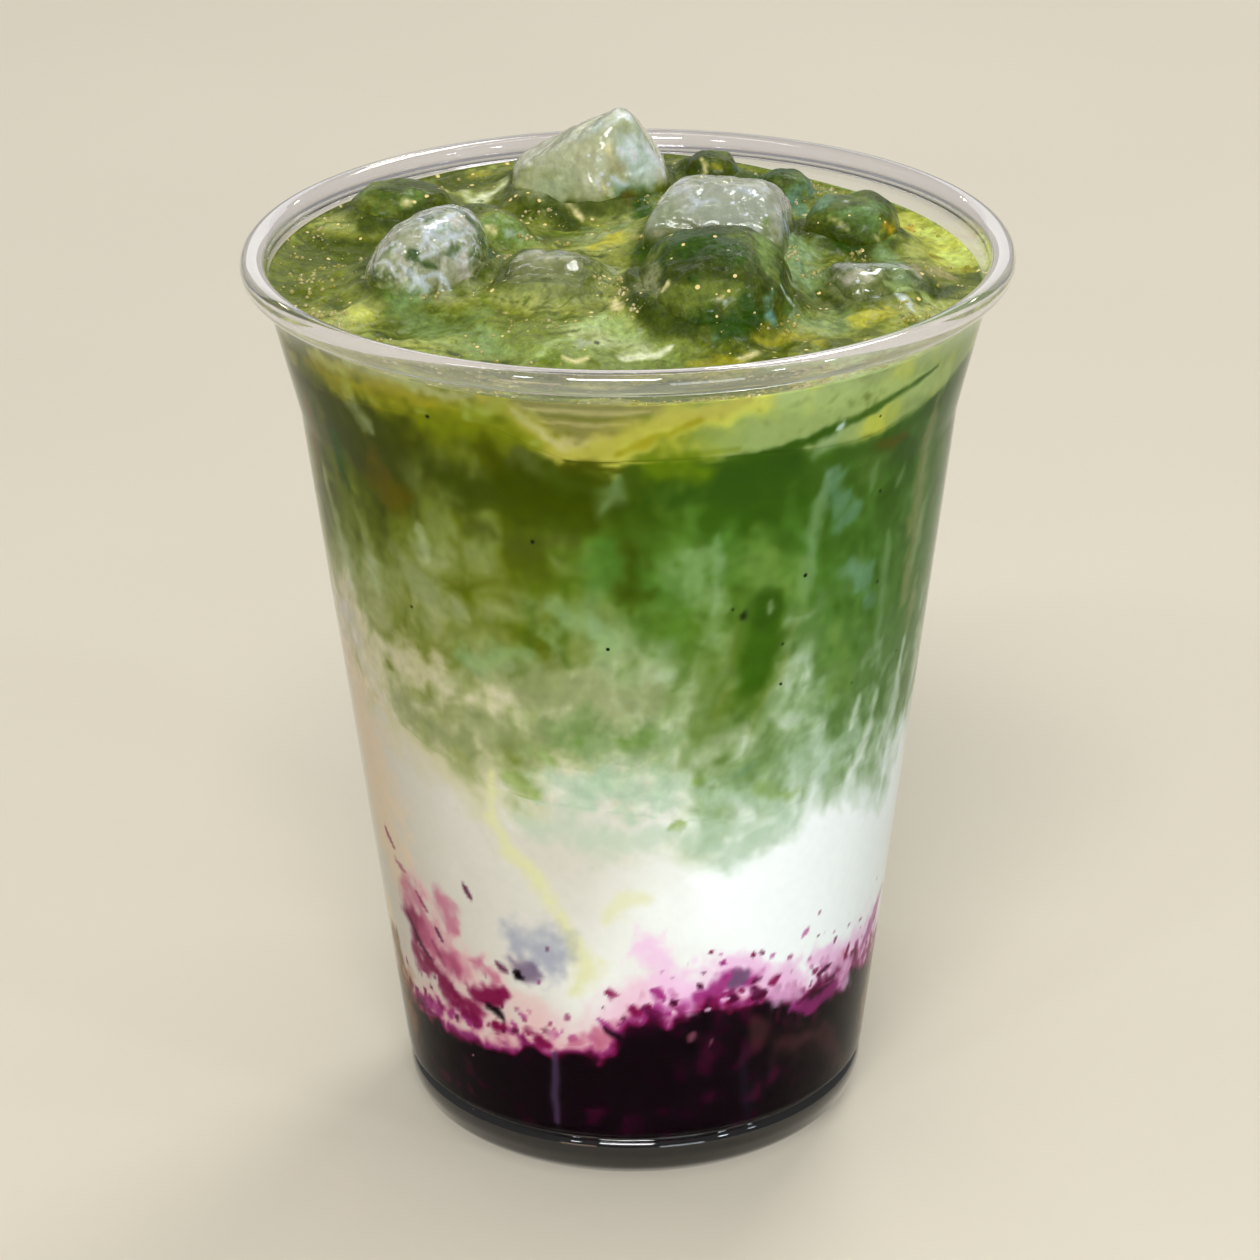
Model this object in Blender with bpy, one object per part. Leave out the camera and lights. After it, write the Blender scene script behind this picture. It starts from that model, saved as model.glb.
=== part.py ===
"""Iced matcha latte in a clear flared tumbler.

The drink stands in layers: berry compote, milk, matcha and a thick pale foam,
with lumps of ice standing out of the foam. The origin is the centre of the
tumbler's foot, on the surface it stands on. +Z is up and -Y is the front.
Sizes are in metres unless a name or comment says otherwise, and angles are in
degrees.
"""

import math
from typing import NamedTuple

import bmesh
import bpy
from mathutils import Vector

MM = 0.001

# Tumbler
CUP_HEIGHT = 119.0 * MM
RIM_OUTER_RADIUS = 49.0 * MM
RIM_TUBE_RADIUS = 1.6 * MM
RIM_START_ANGLE = -130.0
RIM_END_ANGLE = 180.0
RIM_ARC_STEPS = 8
COLLAR_Z = 115.8 * MM
COLLAR_RADIUS = 46.1 * MM
STACK_Z = 98.7 * MM
STACK_RADIUS = 42.05 * MM
WALL_FOOT_Z = 6.9 * MM
WALL_FOOT_RADIUS = 30.7 * MM
GROOVE_Z = 6.2 * MM
GROOVE_RADIUS = 29.5 * MM
FOOT_TOP_Z = 5.4 * MM
FOOT_BULGE_Z = 3.9 * MM
FOOT_RADIUS = 30.5 * MM
FOOT_CORNER_Z = 1.6 * MM
FOOT_CORNER_RADIUS = 29.6 * MM
STAND_RADIUS = 27.8 * MM
STAND_INNER_RADIUS = 24.4 * MM
RECESS_RADIUS = 23.2 * MM
RECESS_Z = 1.2 * MM
WALL = 0.6 * MM
FLOOR_THICKNESS = 0.8 * MM
FLOOR_CORNER_HEIGHT = 2.1 * MM
FLOOR_CORNER_WIDTH = 3.4 * MM
FLOOR_LIP_Z = 6.2 * MM
FLOOR_WALL_Z = 7.8 * MM
CUP_SEGMENTS = 64

# Drink. A share is a part of the radius, from 0 in the middle to 1 at the wall.
WALL_GAP = 0.36 * MM
LAYER_GAP = 0.36 * MM
ROOT_GAP = 0.6 * MM
FOAM_MIDDLE_Z = 113.4 * MM
FOAM_RISE = 2.0 * MM
FOAM_WAVE = 1.4 * MM
FOAM_WAVES_ROUND = 3.0
FOAM_WAVE_TWIST = 5.0
FOAM_ROOT_Z = 99.0 * MM
FOAM_ROOT_POWER = 5.0
DRINK_SEGMENTS = 48
CALM_SHARES = (0.3, 0.65, 1.0)
ROOT_SHARES = (0.5, 0.75, 0.9, 1.0)
FOAM_SHARES = (0.15, 0.3, 0.45, 0.6, 0.75, 0.88, 1.0)

# Heights of the layer borders at the wall in mm, each after its azimuth from
# the front, which is positive to the right.
BERRY_TOP = ((-180, 22), (-120, 24), (-67, 19), (-17, 20.5), (12, 26), (55, 24), (110, 21))
MILK_TOP = ((-180, 59), (-120, 61), (-64, 64), (-14, 57), (25, 54), (60, 55), (120, 60))
MATCHA_TOP = ((-180, 107), (-110, 107), (-65, 108), (-25, 110), (-8, 106), (15, 106), (40, 104.5), (75, 108))
FOAM_TOP = ((-180, 115.6), (-130, 115.2), (-95, 115), (-60, 114), (0, 113.4), (90, 113.2), (135, 113.8))

SHARP_EDGE_ANGLE = 35.0


class Lump(NamedTuple):
    """One lump of ice, in mm and degrees.

    It is a block of the half sizes given, with its corners rounded more as the
    sharpness falls. Each extra facet is the azimuth from +X and the elevation
    of its normal, and its reach from the centre.
    """

    name: str
    centre: tuple
    half_sizes: tuple
    turn: float
    sharpness: float
    facets: tuple = ()


LUMPS = (
    Lump("ice_peak", (-3.4, 30.6, 113.2), (11.9, 8.4, 16.0), 0, 10.0,
         ((176, 57, 10.9), (0, 64, 14.6), (4, 28, 10.2), (0, 0, 9.4), (-58, 14, 8.2), (-122, 28, 9.6),
          (90, 42, 10.6), (0, -90, 9.2))),
    Lump("ice_left", (-25.4, -3.4, 115.0), (9.0, 8.4, 9.4), 12, 3.2, ((-50, 15, 8.2), (150, 35, 8.8))),
    Lump("ice_back_pale", (11.8, 8.8, 114.9), (9.3, 7.6, 9.2), -8, 7.5,
         ((-90, 55, 9.0), (172, 38, 10.0), (0, 32, 10.2), (90, 50, 9.4))),
    Lump("ice_front", (11.4, -13.0, 113.2), (11.6, 10.2, 10.6), 6, 3.4, ((-20, 25, 10.6), (-150, 40, 10.8))),
    Lump("ice_right_dome", (28.8, 13.8, 112.9), (6.5, 6.6, 7.0), 0, 2.8),
    Lump("ice_right_small", (31.6, -6.2, 112.2), (6.2, 5.8, 6.0), 20, 5.0, ((-70, 35, 5.4), (60, 50, 5.8))),
    Lump("ice_centre", (-10.2, -6.8, 112.4), (5.8, 6.4, 6.8), -15, 4.2, ((-90, 45, 6.2),)),
    Lump("ice_left_back", (-29.6, 22.6, 112.8), (6.8, 6.0, 6.6), 25, 3.0),
    Lump("ice_back", (11.4, 36.8, 113.0), (4.1, 4.3, 5.8), 0, 2.8),
    Lump("ice_back_right", (20.8, 30.4, 112.6), (3.9, 4.2, 5.6), 0, 2.8),
    Lump("ice_left_inner", (-18.6, 13.4, 113.0), (5.0, 5.2, 5.8), 30, 3.0),
)
BIG_LUMP_HALF_SIZE = 8.0
BIG_LUMP_GRID = (16, 9)
SMALL_LUMP_GRID = (12, 7)
SEAT_CLEARANCE = 0.45 * MM


def material(name, color, roughness, transmission=0.0):
    """Return a Principled material; the colour is linear red, green and blue."""
    made = bpy.data.materials.new(name)
    made.use_nodes = True
    shader = made.node_tree.nodes["Principled BSDF"]
    shader.inputs["Base Color"].default_value = (*color, 1.0)
    shader.inputs["Roughness"].default_value = roughness
    shader.inputs["Metallic"].default_value = 0.0
    shader.inputs["Transmission Weight"].default_value = transmission
    made.diffuse_color = (*color, 1.0)
    return made


def ring(segments, radius_at, height_at):
    """A closed ring of points; both arguments are functions of the azimuth."""
    points = []
    for step in range(segments):
        azimuth = 360.0 * step / segments - 180.0
        turn = math.radians(azimuth)
        radius = radius_at(azimuth)
        points.append(Vector((radius * math.sin(turn), -radius * math.cos(turn), height_at(azimuth))))
    return points


def level_ring(segments, radius, height):
    """A round ring at one height."""
    return ring(segments, lambda _: radius, lambda _: height)


def on_axis(height):
    """A point on the tumbler's axis."""
    return Vector((0.0, 0.0, height))


def solid_from_rings(name, start, rings, end, finish):
    """Make a closed body from rings of equal count between two end points."""
    mesh = bpy.data.meshes.new(name)
    work = bmesh.new()
    first = work.verts.new(start)
    loops = [[work.verts.new(point) for point in points] for points in rings]
    last = work.verts.new(end)
    count = len(loops[0])
    for step in range(count):
        after = (step + 1) % count
        work.faces.new((first, loops[0][after], loops[0][step]))
        work.faces.new((last, loops[-1][step], loops[-1][after]))
        for lower, upper in zip(loops, loops[1:]):
            work.faces.new((lower[step], lower[after], upper[after], upper[step]))
    bmesh.ops.recalc_face_normals(work, faces=work.faces)
    bmesh.ops.triangulate(work, faces=work.faces)
    work.to_mesh(mesh)
    work.free()
    mesh.shade_smooth()
    mesh.set_sharp_from_angle(angle=math.radians(SHARP_EDGE_ANGLE))
    mesh.materials.append(finish)
    made = bpy.data.objects.new(name, mesh)
    bpy.context.scene.collection.objects.link(made)
    return made


def outer_radius(z):
    """Radius of the tumbler's outer wall at height z, above the foot."""
    if z > STACK_Z:
        slope = (COLLAR_RADIUS - STACK_RADIUS) / (COLLAR_Z - STACK_Z)
    else:
        slope = (STACK_RADIUS - WALL_FOOT_RADIUS) / (STACK_Z - WALL_FOOT_Z)
    return STACK_RADIUS + (z - STACK_Z) * slope


def floor_corner(gap):
    """Radius and height pairs inside the foot, from the wall down to the flat floor."""
    floor_z = RECESS_Z + FLOOR_THICKNESS + gap
    lip_radius = GROOVE_RADIUS - WALL - gap
    return (
        (outer_radius(FLOOR_WALL_Z + gap) - WALL - gap, FLOOR_WALL_Z + gap),
        (lip_radius, FLOOR_LIP_Z + gap),
        (lip_radius, floor_z + FLOOR_CORNER_HEIGHT),
        (lip_radius - FLOOR_CORNER_WIDTH / 3.0, floor_z + FLOOR_CORNER_HEIGHT / 4.0),
        (lip_radius - FLOOR_CORNER_WIDTH, floor_z),
    )


def rim_arc():
    """Radius and height pairs round the rolled rim, from the outer wall to the inner."""
    centre_radius = RIM_OUTER_RADIUS - RIM_TUBE_RADIUS
    centre_z = CUP_HEIGHT - RIM_TUBE_RADIUS
    points = []
    for step in range(RIM_ARC_STEPS + 1):
        angle = math.radians(RIM_START_ANGLE + (RIM_END_ANGLE - RIM_START_ANGLE) * step / RIM_ARC_STEPS)
        points.append((
            centre_radius + RIM_TUBE_RADIUS * math.cos(angle),
            centre_z + RIM_TUBE_RADIUS * math.sin(angle),
        ))
    return points


def make_cup():
    """The clear tumbler: foot, groove, wall, stacking bend and rolled rim."""
    profile = (
        (RECESS_RADIUS, RECESS_Z),
        (STAND_INNER_RADIUS, 0.0),
        (STAND_RADIUS, 0.0),
        (FOOT_CORNER_RADIUS, FOOT_CORNER_Z),
        (FOOT_RADIUS, FOOT_BULGE_Z),
        (FOOT_RADIUS, FOOT_TOP_Z),
        (GROOVE_RADIUS, GROOVE_Z),
        (WALL_FOOT_RADIUS, WALL_FOOT_Z),
        (STACK_RADIUS, STACK_Z),
        *rim_arc(),
        (COLLAR_RADIUS - WALL, COLLAR_Z),
        (STACK_RADIUS - WALL, STACK_Z),
        *floor_corner(0.0),
    )
    rings = [level_ring(CUP_SEGMENTS, radius, height) for radius, height in profile]
    finish = material("clear_plastic", (0.9, 0.92, 0.93), 0.05, 0.9)
    return solid_from_rings("cup", on_axis(RECESS_Z), rings, on_axis(RECESS_Z + FLOOR_THICKNESS), finish)


def around(anchors, azimuth):
    """Height in metres at an azimuth, eased between the anchors round the wall."""
    closed = anchors + ((anchors[0][0] + 360.0, anchors[0][1]),)
    for (left, low), (right, high) in zip(closed, closed[1:]):
        if left <= azimuth <= right:
            ease = 0.5 - 0.5 * math.cos(math.pi * (azimuth - left) / (right - left))
            return (low + (high - low) * ease) * MM
    raise ValueError(f"no anchor covers azimuth {azimuth}")


def calm_border(anchors, shift):
    """A layer border as a function of azimuth and share, level in the middle."""
    middle = sum(height for _, height in anchors) / len(anchors) * MM

    def height(azimuth, share):
        return middle + (around(anchors, azimuth) - middle) * share ** 2 + shift

    return height


def foam_root(shift):
    """The foam's underside: high at the wall, deep under the ice."""

    def height(azimuth, share):
        edge = around(MATCHA_TOP, azimuth)
        return FOAM_ROOT_Z + (edge - FOAM_ROOT_Z) * share ** FOAM_ROOT_POWER + shift

    return height


def foam_top(azimuth, share):
    """The foam's upper face: level at the wall, domed and wavy further in."""
    level = FOAM_MIDDLE_Z + (around(FOAM_TOP, azimuth) - FOAM_MIDDLE_Z) * share ** 2
    phase = math.radians(FOAM_WAVES_ROUND * azimuth) + FOAM_WAVE_TWIST * share
    wave = FOAM_WAVE * math.sin(phase) * share * (1.0 - share)
    return level + FOAM_RISE * (1.0 - share ** 2) ** 2 + wave


def drink_radius(z):
    """Outer radius of the drink at height z."""
    return outer_radius(z) - WALL - WALL_GAP


def border_rings(border, shares):
    """The rings of a border, each at a share of the drink's radius there."""
    rings = []
    for share in shares:
        rings.append(ring(
            DRINK_SEGMENTS,
            lambda azimuth, s=share: s * drink_radius(border(azimuth, 1.0)),
            lambda azimuth, s=share: border(azimuth, s),
        ))
    return rings


def make_berry_layer(gap):
    """The compote, from the tumbler's floor up to the milk."""
    top = calm_border(BERRY_TOP, -gap)
    floor = floor_corner(WALL_GAP)[::-1]
    rings = [level_ring(DRINK_SEGMENTS, radius, height) for radius, height in floor]
    rings += border_rings(top, CALM_SHARES)[::-1]
    finish = material("berry_compote", (0.03, 0.004, 0.015), 0.25)
    return solid_from_rings("berry_layer", on_axis(floor[0][1]), rings, on_axis(top(0.0, 0.0)), finish)


def make_layer(name, bottom, bottom_shares, side_heights, top, top_shares, finish):
    """A layer between two borders, with a level ring at each bend of the wall.

    Two layers that meet have the same shares on their shared border, so that
    their faces stay parallel.
    """
    rings = border_rings(bottom, bottom_shares)
    rings += [level_ring(DRINK_SEGMENTS, drink_radius(z), z) for z in side_heights]
    rings += border_rings(top, top_shares)[::-1]
    return solid_from_rings(name, on_axis(bottom(0.0, 0.0)), rings, on_axis(top(0.0, 0.0)), finish)


def direction_of(azimuth, elevation):
    """Unit vector from two angles in radians, with azimuth from +X."""
    level = math.cos(elevation)
    return Vector((math.cos(azimuth) * level, math.sin(azimuth) * level, math.sin(elevation)))


def lump_facets(lump, grow):
    """Unit normals and reaches of a lump: six block faces and its extra facets."""
    facets = []
    for axis, half in enumerate(lump.half_sizes):
        for sign in (-1.0, 1.0):
            normal = Vector((0.0, 0.0, 0.0))
            normal[axis] = sign
            facets.append((normal, half * MM + grow))
    for azimuth, elevation, reach in lump.facets:
        facets.append((direction_of(math.radians(azimuth), math.radians(elevation)), reach * MM + grow))
    return facets


def lump_point(direction, facets, sharpness):
    """The point of a lump's surface that lies along a direction from its centre."""
    total = 0.0
    for normal, reach in facets:
        share = direction.dot(normal) / reach
        if share > 0.0:
            total += share ** sharpness
    return direction * total ** (-1.0 / sharpness)


def make_lump(name, lump, grow, finish):
    """A rounded block of ice, larger by grow on every side."""
    facets = lump_facets(lump, grow)
    is_big = max(lump.half_sizes) > BIG_LUMP_HALF_SIZE
    points_round, levels = BIG_LUMP_GRID if is_big else SMALL_LUMP_GRID
    rings = []
    for level in range(1, levels):
        elevation = math.pi * (level / levels - 0.5)
        stagger = 0.5 * (level % 2)
        points = []
        for step in range(points_round):
            azimuth = 2.0 * math.pi * (step + stagger) / points_round
            points.append(lump_point(direction_of(azimuth, elevation), facets, lump.sharpness))
        rings.append(points)
    down = Vector((0.0, 0.0, -1.0))
    lowest = lump_point(down, facets, lump.sharpness)
    highest = lump_point(-down, facets, lump.sharpness)
    made = solid_from_rings(name, lowest, rings, highest, finish)
    made.location = Vector(lump.centre) * MM
    made.rotation_euler = (0.0, 0.0, math.radians(lump.turn))
    return made


def cut_seat(foam, lump, finish):
    """Cut a lump's seat out of the foam, with clearance all round."""
    cutter = make_lump(lump.name + "_cutter", lump, SEAT_CLEARANCE, finish)
    cutter.hide_render = True
    cutter.display_type = "WIRE"
    cut = foam.modifiers.new(lump.name + "_seat", "BOOLEAN")
    cut.operation = "DIFFERENCE"
    cut.solver = "EXACT"
    cut.object = cutter


def main():
    """Build every piece of the drink."""
    for old in list(bpy.data.objects):
        bpy.data.objects.remove(old, do_unlink=True)
    make_cup()
    calm_gap = LAYER_GAP / 2.0
    root_gap = ROOT_GAP / 2.0
    make_berry_layer(calm_gap)
    make_layer("milk_layer", calm_border(BERRY_TOP, calm_gap), CALM_SHARES, (),
               calm_border(MILK_TOP, -calm_gap), CALM_SHARES, material("milk", (0.78, 0.74, 0.62), 0.35))
    make_layer("matcha_layer", calm_border(MILK_TOP, calm_gap), CALM_SHARES, (STACK_Z,),
               foam_root(-root_gap), ROOT_SHARES, material("matcha", (0.13, 0.22, 0.04), 0.35))
    foam = make_layer("foam_layer", foam_root(root_gap), ROOT_SHARES, (),
                      foam_top, FOAM_SHARES, material("matcha_foam", (0.42, 0.45, 0.08), 0.4))
    ice = material("ice", (0.6, 0.66, 0.55), 0.1, 0.5)
    cutter_finish = material("cutter", (0.8, 0.1, 0.1), 0.5)
    for lump in LUMPS:
        make_lump(lump.name, lump, 0.0, ice)
        cut_seat(foam, lump, cutter_finish)


main()
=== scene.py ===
"""Looks of an iced matcha latte in a clear flared tumbler.

The drink has four layers, berry compote, milk, matcha and foam, and lumps of ice stand in the foam.
Sizes are in millimetres, and azimuth is in degrees from the front (-Y), positive to the right. Finished
meshes are in metres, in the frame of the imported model.
"""

import itertools
import logging
import math
from collections.abc import Callable
from dataclasses import dataclass, field
from enum import Enum
from functools import partialmethod

import bmesh
import bpy
import numpy as np
from mathutils import Matrix, Vector


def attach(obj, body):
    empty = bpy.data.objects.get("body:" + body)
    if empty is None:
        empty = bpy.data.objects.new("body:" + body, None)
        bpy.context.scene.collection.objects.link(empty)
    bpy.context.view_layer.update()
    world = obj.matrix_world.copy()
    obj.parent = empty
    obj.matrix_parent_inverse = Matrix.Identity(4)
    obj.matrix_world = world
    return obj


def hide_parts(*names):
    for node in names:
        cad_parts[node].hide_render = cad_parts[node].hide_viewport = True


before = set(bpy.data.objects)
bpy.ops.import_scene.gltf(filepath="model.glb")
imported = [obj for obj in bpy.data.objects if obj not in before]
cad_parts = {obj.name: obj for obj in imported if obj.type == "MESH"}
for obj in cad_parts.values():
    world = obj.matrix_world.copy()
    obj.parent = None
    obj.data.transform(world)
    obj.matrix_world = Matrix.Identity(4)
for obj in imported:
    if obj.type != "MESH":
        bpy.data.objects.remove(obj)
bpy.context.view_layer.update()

LOG = logging.getLogger("iced_matcha_latte")
MM = 0.001
PAINT_SEED = 11
TINY = 1e-6

# The tumbler, as in the solid.
CUP_HEIGHT = 119.0
RIM_OUTER_RADIUS = 49.0
RIM_TUBE_RADIUS = 1.6
RIM_START_ANGLE = -130.0
RIM_END_ANGLE = 180.0
COLLAR_Z = 115.8
COLLAR_RADIUS = 46.1
STACK_Z = 98.7
STACK_RADIUS = 42.05
WALL_FOOT_Z = 6.9
WALL_FOOT_RADIUS = 30.7
GROOVE_Z = 6.2
GROOVE_RADIUS = 29.5
FOOT_TOP_Z = 5.4
FOOT_BULGE_Z = 3.9
FOOT_RADIUS = 30.5
FOOT_CORNER_Z = 1.6
FOOT_CORNER_RADIUS = 29.6
STAND_RADIUS = 27.8
STAND_INNER_RADIUS = 24.4
RECESS_RADIUS = 23.2
RECESS_Z = 1.2
WALL = 0.6
FLOOR_THICKNESS = 0.8
FLOOR_CORNER_HEIGHT = 2.1
FLOOR_CORNER_WIDTH = 3.4
FLOOR_LIP_Z = 6.2
FLOOR_WALL_Z = 7.8

# The drink: it reaches this far into the wall, so that no air gap shows.
SINK = 0.1
FOAM_MIDDLE_Z = 113.4
FOAM_RISE = 2.0
FOAM_WAVE = 1.4
FOAM_WAVES_ROUND = 3.0
FOAM_WAVE_TWIST = 5.0
FOAM_ROOT_Z = 99.0
FOAM_ROOT_POWER = 5.0
MEAN_RADIUS = 44.0

# Heights of the layer borders at the wall, as (azimuth in degrees, height in millimetres).
BERRY_TOP = ((-180, 22), (-120, 24), (-67, 19), (-17, 20.5), (12, 26), (55, 24), (110, 21))
MILK_TOP = ((-180, 59), (-120, 61), (-64, 64), (-14, 57), (25, 54), (60, 55), (120, 60))
MATCHA_TOP = ((-180, 107), (-110, 107), (-65, 108), (-25, 110), (-8, 106), (15, 106), (40, 104.5), (75, 108))
FOAM_TOP = ((-180, 115.6), (-130, 115.2), (-95, 115), (-60, 114), (0, 113.4), (90, 113.2), (135, 113.8))


class Brush(Enum):
    """Kinds of mark: share of it that fades, push of its path, fraying of its edge, thinning of its ends."""

    HAZE = (0.95, 4.0, 0.5, 0.2)
    STREAM = (1.0, 1.2, 0.45, 0.5)
    DROP = (0.55, 0.5, 0.12, 0.1)
    PATCH = (0.8, 3.0, 0.4, 0.2)
    WISP = (0.9, 2.2, 0.35, 0.6)
    LINE = (0.8, 1.2, 0.25, 0.5)
    BLOB = (0.5, 1.2, 0.15, 0.1)
    DOT = (0.5, 0.8, 0.3, 0.0)

    @property
    def fade(self) -> float:
        """Share of the half width over which the mark fades."""
        return self.value[0]

    @property
    def ragged(self) -> float:
        """How far noise pushes the path, in millimetres."""
        return self.value[1]

    @property
    def fray(self) -> float:
        """How far fine noise eats into the edge, as a share of the half width."""
        return self.value[2]

    @property
    def taper(self) -> float:
        """How much thinner the ends are than the middle."""
        return self.value[3]


class Tint(Enum):
    """Colours of the drink, as red, green and blue on a screen from 0 to 255."""

    OLIVE = (104, 116, 8)
    OLIVE_BROWN = (84, 74, 4)
    OLIVE_DARK = (72, 82, 22)
    OLIVE_GREEN = (92, 116, 8)
    OLIVE_GOLD = (156, 150, 30)
    OLIVE_GREY = (134, 142, 96)
    OLIVE_HALO = (112, 122, 52)
    OLIVE_SHADE = (130, 122, 4)
    DEEP_OLIVE = (52, 66, 0)
    DEEP_GREEN = (44, 76, 10)
    LEAF_GREEN = (106, 138, 62)
    LEAF_OLIVE = (112, 126, 50)
    LEAF_LIGHT = (126, 152, 76)
    LEAF_SMOOTH = (98, 130, 72)
    GREEN_SPOT = (116, 144, 62)
    SAGE_GREEN = (128, 156, 104)
    GREY_GREEN = (128, 138, 92)
    PALE_SAGE = (170, 182, 152)
    EDGE_BROWN = (104, 74, 22)
    EDGE_TAN = (152, 148, 104)
    TEA_TEAL = (104, 144, 122)
    # painted teal glints of light
    TEAL_GLINT = (124, 176, 180)
    TEA_BLACK = (22, 34, 10)
    GLACIER = (184, 204, 198)
    FROTH_YELLOW = (186, 180, 52)
    FROTH_LIME = (194, 198, 82)
    FROTH_PALE = (164, 184, 112)
    FROTH_EDGE = (112, 128, 28)
    FROTH_WHITE = (222, 226, 184)
    LIME_BRIGHT = (200, 216, 112)
    # painted gold-cream glints of light on wet foam and ice
    CREAM_GLINT = (236, 222, 160)
    AMBER_GOLD = (194, 160, 32)
    MILK_WHITE = (238, 244, 243)
    MILK_CREAM = (198, 195, 181)
    MILK_GREY = (194, 188, 156)
    MILK_GREEN = (164, 188, 160)
    VEIN_YELLOW = (208, 210, 152)
    # painted warm light: the peach cast at the left edge of the milk
    PEACH_WARM_LIGHT = (222, 196, 158)
    PINK_HAZE = (212, 178, 176)
    PINK_PALE = (226, 180, 216)
    ROSE = (178, 98, 124)
    MAGENTA = (146, 40, 112)
    WINE = (112, 10, 58)
    BERRY_DARK = (66, 6, 40)
    BERRY_BLACK = (9, 2, 6)
    BERRY_BROWN = (58, 30, 32)
    BLUE_GREY = (148, 152, 166)
    BLUE_MAUVE = (98, 80, 106)
    # painted amber light, refracted at the wall's left and right edges
    AMBER_REFRACTED_LIGHT = (112, 68, 16)
    # painted reflections of two windows, as faint upright strips
    MAUVE_STRIP_REFLECTION = (66, 48, 74)
    BLUE_STRIP_REFLECTION = (34, 26, 50)
    ICE_SAGE = (168, 170, 132)
    ICE_STONE = (150, 162, 122)
    ICE_GREY = (168, 176, 154)
    ICE_OLIVE = (130, 136, 86)
    ICE_TAN = (164, 154, 108)
    ICE_WARM = (206, 200, 186)
    ICE_RIM = (204, 200, 166)
    STAR_WHITE = (216, 226, 236)
    MILK_WARM = (198, 195, 182)
    STRAW = (192, 188, 152)
    STRAW_SAGE = (150, 156, 106)
    STRAW_OLIVE = (118, 128, 60)
    OLIVE_MID = (86, 98, 14)
    OLIVE_DEEP = (58, 66, 0)
    PALE_TEAL = (196, 212, 194)
    SAGE_TEAL = (136, 162, 118)
    LEAF_FRESH = (88, 121, 60)
    LEAF_DEEP = (72, 112, 36)
    SHADE_GREEN = (48, 82, 10)
    DROP_GREEN = (50, 86, 8)
    TEAL_SOFT = (132, 160, 124)
    ICE_DEPTH = (118, 138, 84)
    FRACTURE = (236, 243, 248)
    FROTH_RIM = (166, 163, 66)
    FROTH_SOFT = (132, 128, 6)
    FROST = (212, 213, 188)
    FROST_SHADE = (172, 178, 142)
    WINDOW = (124, 122, 62)
    WINDOW_PALE = (178, 172, 118)
    FOAM_LOW = (74, 86, 4)
    FOAM_MID = (126, 133, 40)
    FOAM_HIGH = (172, 177, 98)
    # painted gold glints of light on the wet foam and the coated ice
    GOLD_GLINT = (236, 214, 140)

    @property
    def screen(self) -> np.ndarray:
        """The colour as shares of full light on a screen."""
        return np.array(self.value, float) / 255.0

    def stroke(self, brush: Brush, half_width: float, strength: float, *path: tuple[float, ...]) -> "Mark":
        """A mark in this colour.

        Args:
            brush: kind of mark.
            half_width: half of its width in millimetres.
            strength: how fully it covers the coat, up to 1.
            path: its points, as in Mark.

        Returns:
            The mark.
        """
        return Mark(self, brush, half_width, strength, path)

    haze = partialmethod(stroke, Brush.HAZE)
    stream = partialmethod(stroke, Brush.STREAM)
    drop = partialmethod(stroke, Brush.DROP)
    patch = partialmethod(stroke, Brush.PATCH)
    wisp = partialmethod(stroke, Brush.WISP)
    line = partialmethod(stroke, Brush.LINE)
    blob = partialmethod(stroke, Brush.BLOB)
    dot = partialmethod(stroke, Brush.DOT)


class Ramp(Enum):
    """Runs of colour from milk up to strong tea, as (place, tint). WARM is used at the left and COOL at the
    right: partly the drink's own tone, partly painted warm light from the left and cool light from the right.
    """

    WARM = (
        (-0.12, Tint.MILK_WARM),
        (0.05, Tint.STRAW),
        (0.2, Tint.STRAW_SAGE),
        (0.4, Tint.STRAW_OLIVE),
        (0.62, Tint.OLIVE_MID),
        (0.85, Tint.OLIVE_DEEP),
    )
    COOL = (
        (-0.12, Tint.MILK_WHITE),
        (0.05, Tint.PALE_TEAL),
        (0.2, Tint.SAGE_TEAL),
        (0.38, Tint.LEAF_FRESH),
        (0.62, Tint.LEAF_DEEP),
        (0.88, Tint.SHADE_GREEN),
    )
    FOAM = (
        (-0.55, Tint.FOAM_LOW),
        (0.0, Tint.FOAM_MID),
        (0.55, Tint.FOAM_HIGH),
    )

    def colours(self, place: np.ndarray) -> np.ndarray:
        """The ramp's colours at each place along it."""
        stops = [stop for stop, _ in self.value]
        screens = np.array([tint.screen for _, tint in self.value])
        return np.stack([np.interp(place, stops, screens[:, part]) for part in range(3)], axis=1)


@dataclass(frozen=True)
class Mark:
    """One mark of colour that the photograph shows, on the wall or on the foam and ice.

    A point of the path is (azimuth, height) on the wall, or (x, y, z) anywhere else.
    """

    tint: Tint
    brush: Brush
    half_width: float
    strength: float
    path: tuple[tuple[float, ...], ...]

    def places(self) -> np.ndarray:
        """The points of the path in millimetres."""
        return np.array([wall_place(*point) if len(point) == 2 else point for point in self.path], float)
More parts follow.
